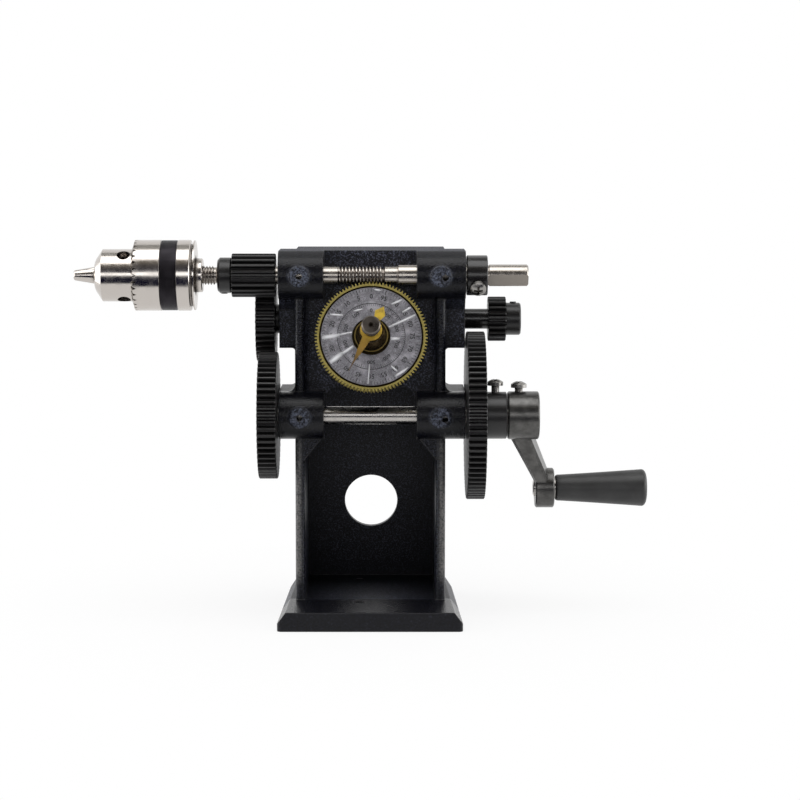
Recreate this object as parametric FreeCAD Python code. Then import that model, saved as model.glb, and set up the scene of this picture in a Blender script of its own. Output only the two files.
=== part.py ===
"""Hand-cranked wire coil winding machine, built as an assembly of separate pieces.

A cast iron frame carries three shafts that lie along X: the crankshaft at the bottom, the
layshaft behind and above it, and the spindle at the top with a keyed chuck on its left end.
A worm cut in the spindle turns two fine-toothed wheels, which count the turns.

Frame: +Z up, +X to the crank side, -Y to the side of the dial. The origin is the centre of the
foot's underside. All lengths are millimetres and all angles are degrees.
"""
import FreeCAD, Part
import math
import os

Vector = FreeCAD.Vector

# ---------------------------------------------------------------- driving dimensions: fits
running_clearance = 0.05        # radial, a shaft that turns in its bore
seat_clearance = 0.02           # radial, a gear or collar on the shaft that it is screwed to
side_gap = 0.6                  # axial, between pieces that turn past each other
thread_clearance = 0.08         # radial, a screw in its hole

# ---------------------------------------------------------------- driving dimensions: frame casting
base_width = 112.0
base_rear_width = 104.0
base_depth = 135.0
base_height = 11.5
base_side_bevel = 5.2           # how far the top edge of each side leans in
base_side_wall = 4.5            # height of the upright part of each side
base_corner_radius = 14.0       # rear corners in plan
base_front_radius = 3.0         # front corners in plan
base_edge_break = 0.8           # top front edge
base_bolt_radius = 3.0
base_bolt_x = -7.0
base_bolt_from_front = 36.0
base_bolt_pitch = 78.0          # from the front bolt hole to the rear one

cheek_outer = 46.0              # half the width over the two cheeks
cheek_thickness = 5.8
cheek_front_from_spindle = 1.0  # cheek front edges stand this far in front of the shaft plane
cheek_edge_radius = 2.6
crown_height = 0.55             # top of the frame over the upper bosses
frame_top_depth = 68.0          # cheek depth at the top of the frame
wall_thickness = 6.0
wall_height = 152.0
wall_hole_radius = 17.0
wall_hole_height = 61.5
web_thickness = 6.0             # the plate that closes the top
cove_radius = 4.0               # cast inside corners
ear_cove_radius = 2.4           # under the ears
ledge_cove_radius = 4.4         # where a cheek stands on a lower ledge

plate_setback = 7.0             # front plate behind the shaft plane
plate_thickness = 6.0
notch_half_width = 27.0
notch_height = 16.5             # top of the notch above the crank axis
notch_corner_radius = 6.0

boss_left_end = 55.8            # outer ends of the shaft bosses, from X = 0
boss_right_end = 58.0
boss_inner_end = 28.3
upper_boss_radius = 14.3
lower_boss_radius = 14.5
ear_half_depth = 17.0           # layshaft ear, either side of its axis and below it
ear_corner_radius = 3.0
lower_ledge_depth = 61.0        # flat top of the lower boss, front to back
gusset_height = 13.0
ear_front_drop = 7.0            # the ear's front edge starts this far under the boss
ear_back_rise = 12.0            # top of the ear's back edge over the layshaft
ear_top_back = 8.0              # back end of the ear's top, behind the layshaft
ledge_heel = 12.0               # how far the underside of the ledge leans
oil_pad_radius = 6.4
oil_pad_height = 2.2
oil_pad_round = 0.8
oil_hole_radius = 1.9
oil_pad_x = 42.9
oil_hole_offset = 2.6           # the right-hand holes are drilled off centre

# ---------------------------------------------------------------- driving dimensions: gear train
gear_module = 1.25
pressure_angle = 20.0
dedendum = 1.25                 # in modules
backlash = 0.12                 # taken off each tooth's thickness at the pitch circle
drive_teeth_slow = 60           # left gear on the crankshaft
drive_teeth_fast = 80           # right gear on the crankshaft
lay_gear_teeth = 40
pinion_teeth = 20               # layshaft pinion and spindle pinion alike
tooth_chamfer = 0.5
crank_axis_y = -25.0
crank_axis_z = 126.0
layshaft_setback = 24.7         # layshaft axis behind the plane of the other two

crankshaft_radius = 5.5
layshaft_radius = 6.25
spindle_left_radius = 5.5
spindle_right_radius = 6.6

slow_gear_width = 11.4
fast_gear_width = 11.0
fast_hub_radius = 14.4
fast_hub_length = 13.6
lay_gear_width = 11.8
lay_gear_boss_radius = 9.0
lay_pinion_width = 11.0
lay_pinion_gap = 14.6           # bare shaft between the right ear and the pinion
lay_pinion_hub_radius = 10.0
lay_pinion_hub_length = 9.2
spindle_pinion_width = 26.6
spindle_pinion_hub_radius = 10.8
spindle_pinion_hub_length = 8.6
spindle_pinion_topping = 0.45   # the wide pinion's tips are turned down by this much
grub_radius = 2.0
spindle_grub_length = 5.6
lay_grub_length = 4.4
key_pin_radius = 1.5            # pins half in a shaft and half in its gear
key_pin_length = 8.0
hub_screw_proud = 4.0           # shank showing under the gear hub screw's head
crank_screw_proud = 2.4         # and under the crank screw's

# ---------------------------------------------------------------- driving dimensions: spindle
collar_radius = 12.2
collar_width = 12.6
spindle_right_end = 96.0
end_groove_width = 1.2          # relief groove beside the collar
end_groove_depth = 0.5
spindle_flat_depth = 1.5
spindle_flat_angle = -33.0      # below the horizontal, facing the front
spindle_shoulder_x = 17.2
worm_x_start = -19.7
worm_x_end = 9.0
nose_thread_radius = 5.8
nose_thread_pitch = 1.75
nose_thread_depth = 0.95
nose_thread_length = 27.0       # from the pinion hub to the end inside the chuck

# ---------------------------------------------------------------- driving dimensions: counter
wheel_module = 0.67
count_teeth = 100
pointer_teeth = 101
worm_mesh_relief = 0.45         # the wheels stand this much further out than full depth
wheel_tilt = 18.0               # the dial leans back by this angle
wheel_x = 0.7
wheel_thickness = 2.0
wheel_spacing = 0.5             # between the two wheels
worm_tooth_gap_share = 0.30     # share of the worm's pitch that its crest fills
dial_radius = 30.4
rim_groove_outer = 31.5         # sunk ring between the dial and the wheel's rim
rim_groove_depth = 1.0
dial_thickness = 0.5
dial_window_radius = 11.6
sleeve_outer = 6.2              # pointer sleeve
sleeve_radius = 10.2            # hub of the count wheel
count_hub_height = 2.2          # hub in front of the dial's face
sleeve_clip_radius = 8.4
sleeve_clip_height = 1.2
post_radius = 4.0
post_cap_radius = 5.7
post_cap_length = 5.0
post_front = 29.5               # how far the post's cap stands in front of the dial
dial_boss_radius = 8.6
post_flange_radius = 7.4
post_flange_height = 1.2
post_nut_width = 12.0
post_nut_height = 5.0
pointer_collar_radius = 7.4
pointer_collar_height = 2.4
pointer_thickness = 0.8
pointer_height = 16.0           # pointer in front of the dial
pointer_long = 29.4
pointer_short = 16.2
pointer_half_width = 3.4
pointer_angle = -118.0          # long end, measured from +X in the dial's own plane
wave_washer_thickness = 0.6

# ---------------------------------------------------------------- driving dimensions: chuck
chuck_nose_x = -166.9
chuck_nose_radius = 8.6
chuck_body_radius = 15.9
chuck_nose_length = 4.6
sleeve_front_x = -144.1
sleeve_bevel_length = 1.6
bevel_tooth_depth = 2.0         # square to the cone the teeth stand on
sleeve_outer_radius = 21.5
chuck_sleeve_length = 35.7
sleeve_wall = 2.6               # sleeve wall over the ring nut
bevel_teeth = 33
band_start = 17.3               # knurled band, from the sleeve's front
band_width = 10.5
band_depth = 0.5
rear_groove_width = 1.6
rear_rim_width = 0.8
chuck_shoulder_radius = 10.3
chuck_shoulder_length = 4.4
key_hole_radius = 4.0
key_hole_depth = 6.5
key_hole_setback = 4.9          # in front of the sleeve
key_hole_angle = 54.0
jaw_count = 3
jaw_radius = 4.0
jaw_lean = 15.0                 # between a jaw's run and the chuck's axis
jaw_reach = 13.2                # closed jaws in front of the nose
jaw_tip_radius = 3.1
jaw_length = 46.0
jaw_clearance = 0.06
jaw_gap = 0.12                  # between neighbouring closed jaws
jaw_travel = 14.0
jaw_axis_at_nose = 2.66         # how far a jaw's axis is from the chuck's axis at the nose
nose_bore_radius = 5.2
ring_nut_width = 8.0
ring_nut_from_sleeve = 3.4
ring_nut_split = 0.4

# ---------------------------------------------------------------- driving dimensions: crank
crank_hub_radius = 14.7
crank_hub_length = 19.2
crank_hub_gap = 0.6
crank_throw = 55.8
crank_swing = 29.5              # arm behind straight down
crank_eye_radius = 12.4
crank_eye_width = 11.7
crank_eye_x = 102.7
crank_arm_width = 15.0
grip_length = 57.0
grip_small_radius = 8.2
grip_large_radius = 11.6
grip_end_round = 3.0
grip_pocket = 5.0               # depth of the pocket in the grip's end
handle_washer_thickness = 0.7
handle_washer_radius = 7.0
handle_pin_radius = 4.0
pin_rivet_height = 1.3
pin_head_radius = 6.0
pin_head_height = 2.2
screw_head_radius = 4.8
screw_head_height = 3.9         # to the crown of the domed head
screw_head_edge = 2.1           # height of the head's upright edge
screw_shank_radius = 2.4
recess_width = 1.3
recess_depth = 1.5

# ---------------------------------------------------------------- worked out from the above
lay_centres = gear_module * (drive_teeth_slow + lay_gear_teeth) / 2.0
spindle_centres = gear_module * (lay_gear_teeth + pinion_teeth) / 2.0
lay_y = crank_axis_y + layshaft_setback
lay_z = crank_axis_z + math.sqrt(lay_centres ** 2 - layshaft_setback ** 2)
spindle_y = crank_axis_y
spindle_z = lay_z + math.sqrt(spindle_centres ** 2 - layshaft_setback ** 2)
frame_height = spindle_z + upper_boss_radius + crown_height
base_front = -base_depth / 2.0
base_back = base_depth / 2.0
cheek_front = crank_axis_y - cheek_front_from_spindle
cheek_inner = cheek_outer - cheek_thickness
frame_top_back = cheek_front + frame_top_depth
plate_front = crank_axis_y + plate_setback
plate_back = plate_front + plate_thickness
left_face = -boss_left_end - side_gap
right_face = boss_right_end + side_gap
slow_gear_x = left_face - slow_gear_width
fast_gear_end = right_face + fast_gear_width
lay_gear_x = left_face - 2.0 - lay_gear_width
lay_pinion_x = boss_right_end + lay_pinion_gap
pinion_end_x = left_face - 1.0
pinion_start_x = pinion_end_x - spindle_pinion_width
pinion_hub_x = pinion_start_x - spindle_pinion_hub_length
pinion_grub_x = pinion_hub_x + spindle_pinion_hub_length / 2.0 - 0.4
lay_grub_x = lay_pinion_x + lay_pinion_width + lay_pinion_hub_length / 2.0
collar_screw_x = right_face + collar_width / 2.0 + 0.4
hub_screw_x = fast_gear_end + fast_hub_length / 2.0
crank_hub_x = fast_gear_end + fast_hub_length + crank_hub_gap
crank_screw_x = crank_hub_x + crank_hub_length * 0.36
grip_x = crank_eye_x + crank_eye_width + handle_washer_thickness + 0.2
grip_y = crank_axis_y + crank_throw * math.sin(math.radians(crank_swing))
grip_z = crank_axis_z - crank_throw * math.cos(math.radians(crank_swing))
worm_crest_radius = spindle_left_radius
worm_pitch_radius = worm_crest_radius - wheel_module
worm_pitch = math.pi * wheel_module
worm_centres = worm_pitch_radius + wheel_module * count_teeth / 2.0 + worm_mesh_relief


# ---------------------------------------------------------------- plain shapes
def solid_of(shape):
    """Return the one solid in a shape, or the shape itself if it has several."""
    shape = shape.removeSplitter()
    return shape.Solids[0] if len(shape.Solids) == 1 else shape


def box(x0, x1, y0, y1, z0, z1):
    return Part.makeBox(x1 - x0, y1 - y0, z1 - z0, Vector(x0, y0, z0))


def rod_x(x0, x1, radius, y, z):
    """Cylinder along X from x0 to x1."""
    return Part.makeCylinder(radius, x1 - x0, Vector(x0, y, z), Vector(1, 0, 0))


def tube_x(x0, x1, outer, inner, y, z):
    return rod_x(x0, x1, outer, y, z).cut(rod_x(x0 - 1, x1 + 1, inner, y, z))


def prism_x(points, x0, x1):
    """Extrude a polygon of (y, z) points along X."""
    ring = [Vector(x0, y, z) for y, z in points]
    wire = Part.makePolygon(ring + ring[:1])
    return Part.Face(wire).extrude(Vector(x1 - x0, 0, 0))


def prism_y(points, y0, y1):
    """Extrude a polygon of (x, z) points along Y."""
    ring = [Vector(x, y0, z) for x, z in points]
    wire = Part.makePolygon(ring + ring[:1])
    return Part.Face(wire).extrude(Vector(0, y1 - y0, 0))


def curved_prism_x(x0, x1, start, steps):
    """Extrude an outline of (y, z) points along X: a step is a line's end, or an arc's middle
    and end."""
    edges = []
    here = Vector(x0, *start)
    for step in steps + [(start,)]:
        points = [Vector(x0, y, z) for y, z in step]
        if len(points) == 2:
            edges.append(Part.Arc(here, points[0], points[1]).toShape())
        else:
            edges.append(Part.makeLine(here, points[0]))
        here = points[-1]
    return Part.Face(Part.Wire(edges)).extrude(Vector(x1 - x0, 0, 0))


def turned_x(profile, y, z):
    """Turn a closed outline of (x, radius) points about the line along X through (y, z)."""
    ring = [Vector(x, y + radius, z) for x, radius in profile]
    wire = Part.makePolygon(ring + ring[:1])
    return Part.Face(wire).revolve(Vector(0, y, z), Vector(1, 0, 0), 360)


def turned_z(profile):
    """Turn a closed outline of (radius, z) points about the Z axis."""
    ring = [Vector(radius, 0, z) for radius, z in profile]
    wire = Part.makePolygon(ring + ring[:1])
    return Part.Face(wire).revolve(Vector(0, 0, 0), Vector(0, 0, 1), 360)


def chamfered_rod(x0, x1, radius, chamfer, y, z):
    outline = [(x0, 0), (x0, radius - chamfer), (x0 + chamfer, radius),
               (x1 - chamfer, radius), (x1, radius - chamfer), (x1, 0)]
    return turned_x(outline, y, z)


def cove_z(x, y, z0, z1, radius, side_x, side_y):
    """Concave upright fillet that fills the corner at (x, y); the sides say where it lies."""
    x1 = x + side_x * radius
    y1 = y + side_y * radius
    block = box(min(x, x1), max(x, x1), min(y, y1), max(y, y1), z0, z1)
    return block.cut(Part.makeCylinder(radius, z1 - z0, Vector(x1, y1, z0)))


def cove_y(x, z, y0, y1, radius, side_x, side_z):
    """Concave fillet along Y that fills the corner at (x, z); the sides say where it lies."""
    x1 = x + side_x * radius
    z1 = z + side_z * radius
    block = box(min(x, x1), max(x, x1), y0, y1, min(z, z1), max(z, z1))
    return block.cut(Part.makeCylinder(radius, y1 - y0, Vector(x1, y0, z1), Vector(0, 1, 0)))


def circle_point(centre, radius, angle):
    """Point on a circle in a plane, at an angle in degrees."""
    a = math.radians(angle)
    return (centre[0] + radius * math.cos(a), centre[1] + radius * math.sin(a))


def front_direction(angle):
    """Unit vector across X: 0 points to the front (-Y), 90 points up."""
    a = math.radians(angle)
    return Vector(0, -math.cos(a), math.sin(a))


# ---------------------------------------------------------------- gears
def involute_point(base_radius, radius, turn, side):
    """Point on an involute flank at a radius; side +1 or -1 mirrors it about the tooth."""
    roll = math.sqrt(max((radius / base_radius) ** 2 - 1.0, 0.0))
    angle = turn - side * (roll - math.atan(roll))
    return Vector(0, radius * math.cos(angle), radius * math.sin(angle))


def gear_face(teeth, phase, tip_cut=0.0):
    """Flat spur gear at X = 0 in the YZ plane, centred on the origin.

    phase is the angle of one tooth's centre from +Y towards +Z.
    """
    pitch_radius = gear_module * teeth / 2.0
    base_radius = pitch_radius * math.cos(math.radians(pressure_angle))
    tip_radius = pitch_radius + gear_module - tip_cut
    root_radius = pitch_radius - dedendum * gear_module
    start_radius = max(base_radius, root_radius)
    roll = math.tan(math.radians(pressure_angle)) - math.radians(pressure_angle)
    half_tooth = math.pi / (2.0 * teeth) - backlash / (2.0 * pitch_radius)
    radii = [start_radius + (tip_radius - start_radius) * k / 4.0 for k in range(5)]
    edges = []
    corners = []
    for i in range(teeth):
        centre = math.radians(phase) + 2.0 * math.pi * i / teeth
        flanks = []
        for side in (-1, 1):
            turn = centre + side * (half_tooth + roll)
            points = [involute_point(base_radius, r, turn, side) for r in radii]
            flanks.append(points)
        corners.append((centre, flanks))
    for i, (centre, flanks) in enumerate(corners):
        low, high = flanks
        root_low = direction_point(low[0], root_radius)
        root_high = direction_point(high[0], root_radius)
        if start_radius > root_radius + 1e-6:
            edges.append(Part.makeLine(root_low, low[0]))
        rising = Part.BSplineCurve()
        rising.interpolate(low)
        edges.append(rising.toShape())
        top = Vector(0, tip_radius * math.cos(centre), tip_radius * math.sin(centre))
        edges.append(Part.Arc(low[-1], top, high[-1]).toShape())
        falling = Part.BSplineCurve()
        falling.interpolate(high[::-1])
        edges.append(falling.toShape())
        if start_radius > root_radius + 1e-6:
            edges.append(Part.makeLine(high[0], root_high))
        next_low = corners[(i + 1) % teeth][1][0][0]
        between = centre + math.pi / teeth
        bottom = Vector(0, root_radius * math.cos(between), root_radius * math.sin(between))
        edges.append(Part.Arc(root_high, bottom, direction_point(next_low, root_radius)).toShape())
    return Part.Face(Part.Wire(edges))


def direction_point(point, radius):
    """The point at a radius in the same direction as another point."""
    return point * (radius / point.Length)


def gear_blank(x0, x1, tip_radius, bore, y, z):
    """A bored disc with chamfered rims, to break the ends of the teeth."""
    rim = tip_radius + tooth_chamfer / 50.0
    outline = [(x0, bore), (x0, rim - tooth_chamfer), (x0 + tooth_chamfer, rim),
               (x1 - tooth_chamfer, rim), (x1, rim - tooth_chamfer), (x1, bore)]
    return turned_x(outline, y, z)


def spur_gear(x0, x1, teeth, bore, phase, y, z, tip_cut=0.0):
    """Spur gear along X whose teeth have chamfered ends."""
    gear = gear_face(teeth, phase, tip_cut).extrude(Vector(x1 - x0, 0, 0))
    gear.translate(Vector(x0, y, z))
    tip_radius = gear_module * (teeth + 2) / 2.0 - tip_cut
    return gear.common(gear_blank(x0, x1, tip_radius, bore, y, z))


def mesh_phase(phase_a, teeth_a, teeth_b, line_angle):
    """Tooth angle of gear B that meshes with gear A, along the line of centres from A to B."""
    pitch_a = 360.0 / teeth_a
    pitch_b = 360.0 / teeth_b
    share = ((line_angle - phase_a) % pitch_a) / pitch_a
    return line_angle + 180.0 + (share + 0.5) * pitch_b


lay_line = math.degrees(math.atan2(lay_z - crank_axis_z, lay_y - crank_axis_y))
spindle_line = math.degrees(math.atan2(spindle_z - lay_z, spindle_y - lay_y))
slow_phase = 90.0
lay_phase = mesh_phase(slow_phase, drive_teeth_slow, lay_gear_teeth, lay_line)
spindle_phase = mesh_phase(lay_phase, lay_gear_teeth, pinion_teeth, spindle_line)
fast_phase = 90.0
lay_pinion_phase = mesh_phase(fast_phase, drive_teeth_fast, pinion_teeth, lay_line)


# ---------------------------------------------------------------- screws
def screw_hole(x, y, z, angle, reach, radius):
    """Hole for a screw that points at a shaft's axis, from the axis out to a reach."""
    return Part.makeCylinder(radius + thread_clearance, reach, Vector(x, y, z),
                             front_direction(angle))


def grub_screw(x, y, z, angle, tip_radius, length):
    """Headless set screw with a slot, from its tip on the shaft outwards."""
    screw = Part.makeCylinder(grub_radius, length)
    slot = box(-grub_radius, grub_radius, -recess_width / 2, recess_width / 2,
               length - recess_depth, length + 1)
    screw = screw.cut(slot)
    return stand_on_shaft(screw, x, y, z, angle, tip_radius)


def stand_on_shaft(shape, x, y, z, angle, tip_radius):
    """Turn a piece made along +Z to point away from a shaft's axis, its foot at tip_radius."""
    shape = shape.copy()
    shape.translate(Vector(x, 0, tip_radius))
    shape.rotate(Vector(0, 0, 0), Vector(1, 0, 0), 90.0 - angle)
    shape.translate(Vector(0, y, z))
    return shape


def pan_screw(shank_length):
    """Cross-recess screw with a domed head along +Z, its tip at Z = 0."""
    top = shank_length + screw_head_height
    screw = turned_z([(0, 0), (screw_shank_radius, 0), (screw_shank_radius, shank_length),
                      (screw_head_radius, shank_length), (screw_head_radius, top), (0, top)])
    crown = screw_head_height - screw_head_edge
    dome = (screw_head_radius ** 2 + crown ** 2) / (2 * crown)
    keep = Part.makeSphere(dome, Vector(0, 0, top - dome))
    keep = keep.fuse(Part.makeCylinder(screw_head_radius + 1, shank_length + screw_head_edge))
    screw = screw.common(keep)
    arm = screw_head_radius * 0.55
    for width, depth in ((arm, recess_width / 2), (recess_width / 2, arm)):
        screw = screw.cut(box(-width, width, -depth, depth, top - recess_depth, top + 1))
    return solid_of(screw)


# ---------------------------------------------------------------- frame casting
def foot_plate():
    """Foot with leaning side edges, narrower at the back, with round corners in plan."""
    front = base_width / 2.0
    rear = base_rear_width / 2.0
    ring = [Vector(-front, base_front, 0), Vector(front, base_front, 0),
            Vector(rear, base_back, 0), Vector(-rear, base_back, 0)]
    body = Part.Face(Part.makePolygon(ring + ring[:1])).extrude(Vector(0, 0, base_height))
    for y, radius in ((base_front, base_front_radius), (base_back, base_corner_radius)):
        upright = [e for e in body.Edges if e.BoundBox.ZLength > base_height / 2
                   and abs(e.CenterOfMass.y - y) < 1e-6]
        body = body.makeFillet(radius, upright)
    past = 10.0
    drift = (front - rear) / base_depth * past
    for side in (-1, 1):
        rise = base_height - base_side_wall
        corner = [(front + drift + past, base_side_wall - past * rise / base_side_bevel),
                  (front + drift - base_side_bevel * 2, base_height + rise),
                  (front + drift + past, base_height + rise)]
        ring = [Vector(side * x, base_front - past, z) for x, z in corner]
        wedge = Part.Face(Part.makePolygon(ring + ring[:1]))
        lean_in = side * (rear - front) / base_depth * (base_depth + 2 * past)
        body = body.cut(wedge.extrude(Vector(lean_in, base_depth + 2 * past, 0)))
    edge = [e for e in body.Edges if abs(e.BoundBox.YMax - base_front) < 1e-6
            and e.BoundBox.ZMin > base_height - 0.1]
    return body.makeFillet(base_edge_break, edge)


def cheek(side):
    """One upright side of the frame, with its front edge rounded."""
    sunk = base_height - 1.0
    points = [(cheek_front, sunk), (cheek_front, frame_height),
              (frame_top_back, frame_height), (base_back - 0.5, sunk)]
    x0, x1 = sorted((side * cheek_inner, side * cheek_outer))
    body = prism_x(points, x0, x1)
    front = [e for e in body.Edges if abs(e.BoundBox.YMax - cheek_front) < 1e-6
             and e.BoundBox.ZLength > frame_height / 2]
    return body.makeFillet(cheek_edge_radius, front)


def back_wall():
    """Rear wall that follows the cheeks' lean, open above for the layshaft and the nut."""
    lean = (base_back - 0.5 - frame_top_back) / (frame_height - base_height)
    low = base_height - 1.0
    back_low = base_back - 0.5
    back_high = back_low - lean * (wall_height - low)
    points = [(back_low, low), (back_high, wall_height),
              (back_high - wall_thickness, wall_height), (back_low - wall_thickness, low)]
    wall = prism_x(points, -cheek_inner - 0.5, cheek_inner + 0.5)
    hole = Part.makeCylinder(wall_hole_radius, base_depth, Vector(0, 0, wall_hole_height),
                             Vector(0, 1, 0))
    return wall.cut(hole)


def front_plate():
    """Plate that carries the dial, with a round-cornered notch over the crankshaft."""
    low = crank_axis_z
    top = crank_axis_z + notch_height
    plate = box(-cheek_inner - 0.5, cheek_inner + 0.5, plate_front, plate_back, low, frame_height)
    notch = box(-notch_half_width, notch_half_width, plate_front - 1, plate_back + 1, low - 1, top)
    upright = [e for e in notch.Edges if e.BoundBox.YLength > plate_thickness
               and e.BoundBox.ZMin > top - 0.1]
    return plate.cut(notch.makeFillet(notch_corner_radius, upright))


def upper_boss(side, end):
    """Spindle boss, and outside the cheek the ear that carries the layshaft.

    The boss's top quarter is a slightly larger arc, so that it runs out flush with the frame.
    """
    radius = upper_boss_radius
    rise = frame_height - spindle_z
    shift = (rise ** 2 - radius ** 2) / (2 * radius)
    low = spindle_z - radius
    nose = (spindle_y - radius, spindle_z)
    round_front = [((spindle_y, frame_height),),
                   (circle_point((spindle_y + shift, spindle_z), radius + shift, 137), nose),
                   (circle_point((spindle_y, spindle_z), radius, 225), (spindle_y, low))]
    inner = round_front + [((plate_back, low),)]
    ear_front = lay_y - ear_half_depth
    ear_back = lay_y + ear_half_depth
    ear_low = lay_z - ear_half_depth
    soft = ear_corner_radius
    outer = round_front + [((ear_front, low - ear_front_drop),), ((ear_front, ear_low + soft),),
                           (circle_point((ear_front + soft, ear_low + soft), soft, 225),
                            (ear_front + soft, ear_low)),
                           ((ear_back - soft, ear_low),),
                           (circle_point((ear_back - soft, ear_low + soft), soft, 315),
                            (ear_back, ear_low + soft)),
                           ((ear_back, lay_z + ear_back_rise),)]
    body = curved_prism_x(*sorted((side * boss_inner_end, side * cheek_outer)),
                          (plate_back, frame_height), inner)
    ear = curved_prism_x(*sorted((side * (cheek_outer - 1), side * end)),
                         (lay_y + ear_top_back, frame_height), outer)
    cove = cove_y(side * cheek_outer, ear_low, ear_front + soft, ear_back - soft,
                  ear_cove_radius, side, -1)
    return body.fuse(ear).fuse(cove)


def lower_boss(side, end):
    """Crankshaft boss; outside the cheek its flat top runs back as a ledge."""
    centre = (crank_axis_y, crank_axis_z)
    top = crank_axis_z + lower_boss_radius
    low = crank_axis_z - lower_boss_radius
    round_front = [((crank_axis_y, top),),
                   (circle_point(centre, lower_boss_radius, 180), (crank_axis_y, low))]
    ledge_back = crank_axis_y - lower_boss_radius + lower_ledge_depth
    inner = round_front + [((plate_back, low),)]
    outer = round_front + [((crank_axis_y + ledge_heel, low),), ((ledge_back, top - ledge_heel),)]
    body = curved_prism_x(*sorted((side * boss_inner_end, side * cheek_outer)),
                          (plate_back, top), inner)
    ledge = curved_prism_x(*sorted((side * (cheek_outer - 1), side * end)),
                           (ledge_back, top), outer)
    foot = [(side * boss_inner_end, low + 2.0), (side * cheek_inner, low - gusset_height),
            (side * (cheek_inner + 1), low - gusset_height), (side * (cheek_inner + 1), low + 2.0)]
    gusset = prism_y(foot, cheek_front + 1.0, plate_back)
    cove = cove_y(side * cheek_outer, top, crank_axis_y, ledge_back, ledge_cove_radius, side, 1)
    return body.fuse(ledge).fuse(gusset).fuse(cove)


def oil_pad(x, y, z, boss_radius):
    """Round pad on the front of a boss, with a soft rim."""
    pad = Part.makeCylinder(oil_pad_radius, boss_radius + oil_pad_height, Vector(x, y, z),
                            Vector(0, -1, 0))
    rim = [e for e in pad.Edges if abs(e.BoundBox.YMax - (y - boss_radius - oil_pad_height)) < 1e-6]
    return pad.makeFillet(oil_pad_round, rim)


def dial_boss():
    """Cast boss on the front plate, square to the leaning dial post."""
    boss = Part.makeCylinder(dial_boss_radius, 40.0, Vector(0, 0, dial_boss_z - 40.0))
    boss = place_on_dial(boss)
    keep = box(-30, 30, dial_centre.y - 20, plate_front + 1, 0, frame_height)
    boss = boss.common(keep)
    return boss


def main_frame():
    body = foot_plate()
    pieces = [cheek(-1), cheek(1), back_wall(), front_plate()]
    pieces.append(box(-cheek_inner - 0.5, cheek_inner + 0.5, plate_front, frame_top_back,
                      frame_height - web_thickness, frame_height))
    ends = {-1: boss_left_end, 1: boss_right_end}
    for side in (-1, 1):
        pieces.append(upper_boss(side, ends[side]))
        pieces.append(lower_boss(side, ends[side]))
        pieces.append(cove_z(side * cheek_inner, plate_front, crank_axis_z, frame_height,
                             cove_radius, -side, -1))
        for y, z, radius in ((spindle_y, spindle_z, upper_boss_radius),
                             (crank_axis_y, crank_axis_z, lower_boss_radius)):
            pieces.append(oil_pad(side * oil_pad_x, y, z, radius))
    pieces.append(dial_boss())
    body = body.multiFuse(pieces)
    body = body.cut(Part.makeCompound(frame_holes(ends)))
    return solid_of(body)


def frame_holes(ends):
    """Shaft bores, oil holes, bolt holes and the hole for the dial post."""
    holes = []
    reach = boss_right_end + 5
    spindle_left = spindle_left_radius + running_clearance
    spindle_right = spindle_right_radius + running_clearance
    holes.append(rod_x(-reach, 0, spindle_left, spindle_y, spindle_z))
    holes.append(rod_x(0, reach, spindle_right, spindle_y, spindle_z))
    holes.append(rod_x(-reach, reach, crankshaft_radius + running_clearance,
                       crank_axis_y, crank_axis_z))
    holes.append(rod_x(-reach, reach, layshaft_radius + running_clearance, lay_y, lay_z))
    for side in (-1, 1):
        for y, z, radius in ((spindle_y, spindle_z, upper_boss_radius),
                             (crank_axis_y, crank_axis_z, lower_boss_radius)):
            offset = oil_hole_offset if side > 0 else 0.0
            holes.append(Part.makeCylinder(oil_hole_radius, radius + oil_pad_height + 2,
                                           Vector(side * oil_pad_x + offset, y, z - offset / 3),
                                           Vector(0, -1, 0)))
    for y in (base_front + base_bolt_from_front,
              base_front + base_bolt_from_front + base_bolt_pitch):
        holes.append(Part.makeCylinder(base_bolt_radius, base_height + 2,
                                       Vector(base_bolt_x, y, -1)))
    holes.append(place_on_dial(Part.makeCylinder(post_radius + seat_clearance, 80.0,
                                                 Vector(0, 0, -70.0))))
    flat = Part.makeCylinder(post_nut_width / 2 * 1.3, 20.0, Vector(0, 0, post_back - 20.0))
    keep = box(-30, 30, plate_back - 4.0, plate_back + 20, 0, frame_height)
    holes.append(place_on_dial(flat).common(keep))
    return holes


# ---------------------------------------------------------------- counter, in the dial's own frame
# The wheels' common axis is +Z of this frame, +X is the machine's X, and Z = 0 is the plane of
# the worm's axis, midway between the two wheels.
tilt = math.radians(wheel_tilt)
up_in_wheel = Vector(0, math.sin(tilt), math.cos(tilt))
dial_centre = Vector(wheel_x, spindle_y, spindle_z) - up_in_wheel * worm_centres
dial_placement = FreeCAD.Placement(dial_centre, FreeCAD.Rotation(Vector(1, 0, 0),
                                                                 90.0 - wheel_tilt))
count_wheel_z = wheel_spacing / 2.0
dial_z = count_wheel_z + wheel_thickness
dial_face_z = dial_z + dial_thickness
wheels_back_z = -wheel_spacing / 2.0 - wheel_thickness
post_flange_z = wheels_back_z - wave_washer_thickness - 0.2 - post_flange_height
dial_boss_z = post_flange_z
worm_start_angle = -wheel_tilt - 360.0 * (wheel_x - worm_x_start - 0.6) / worm_pitch
post_back = -((plate_back - dial_centre.y) / math.cos(tilt)) + 1.5


def place_on_dial(shape):
    """Move a piece from the dial's own frame into the machine's."""
    shape = shape.copy()
    shape.Placement = dial_placement.multiply(shape.Placement)
    return shape


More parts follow.
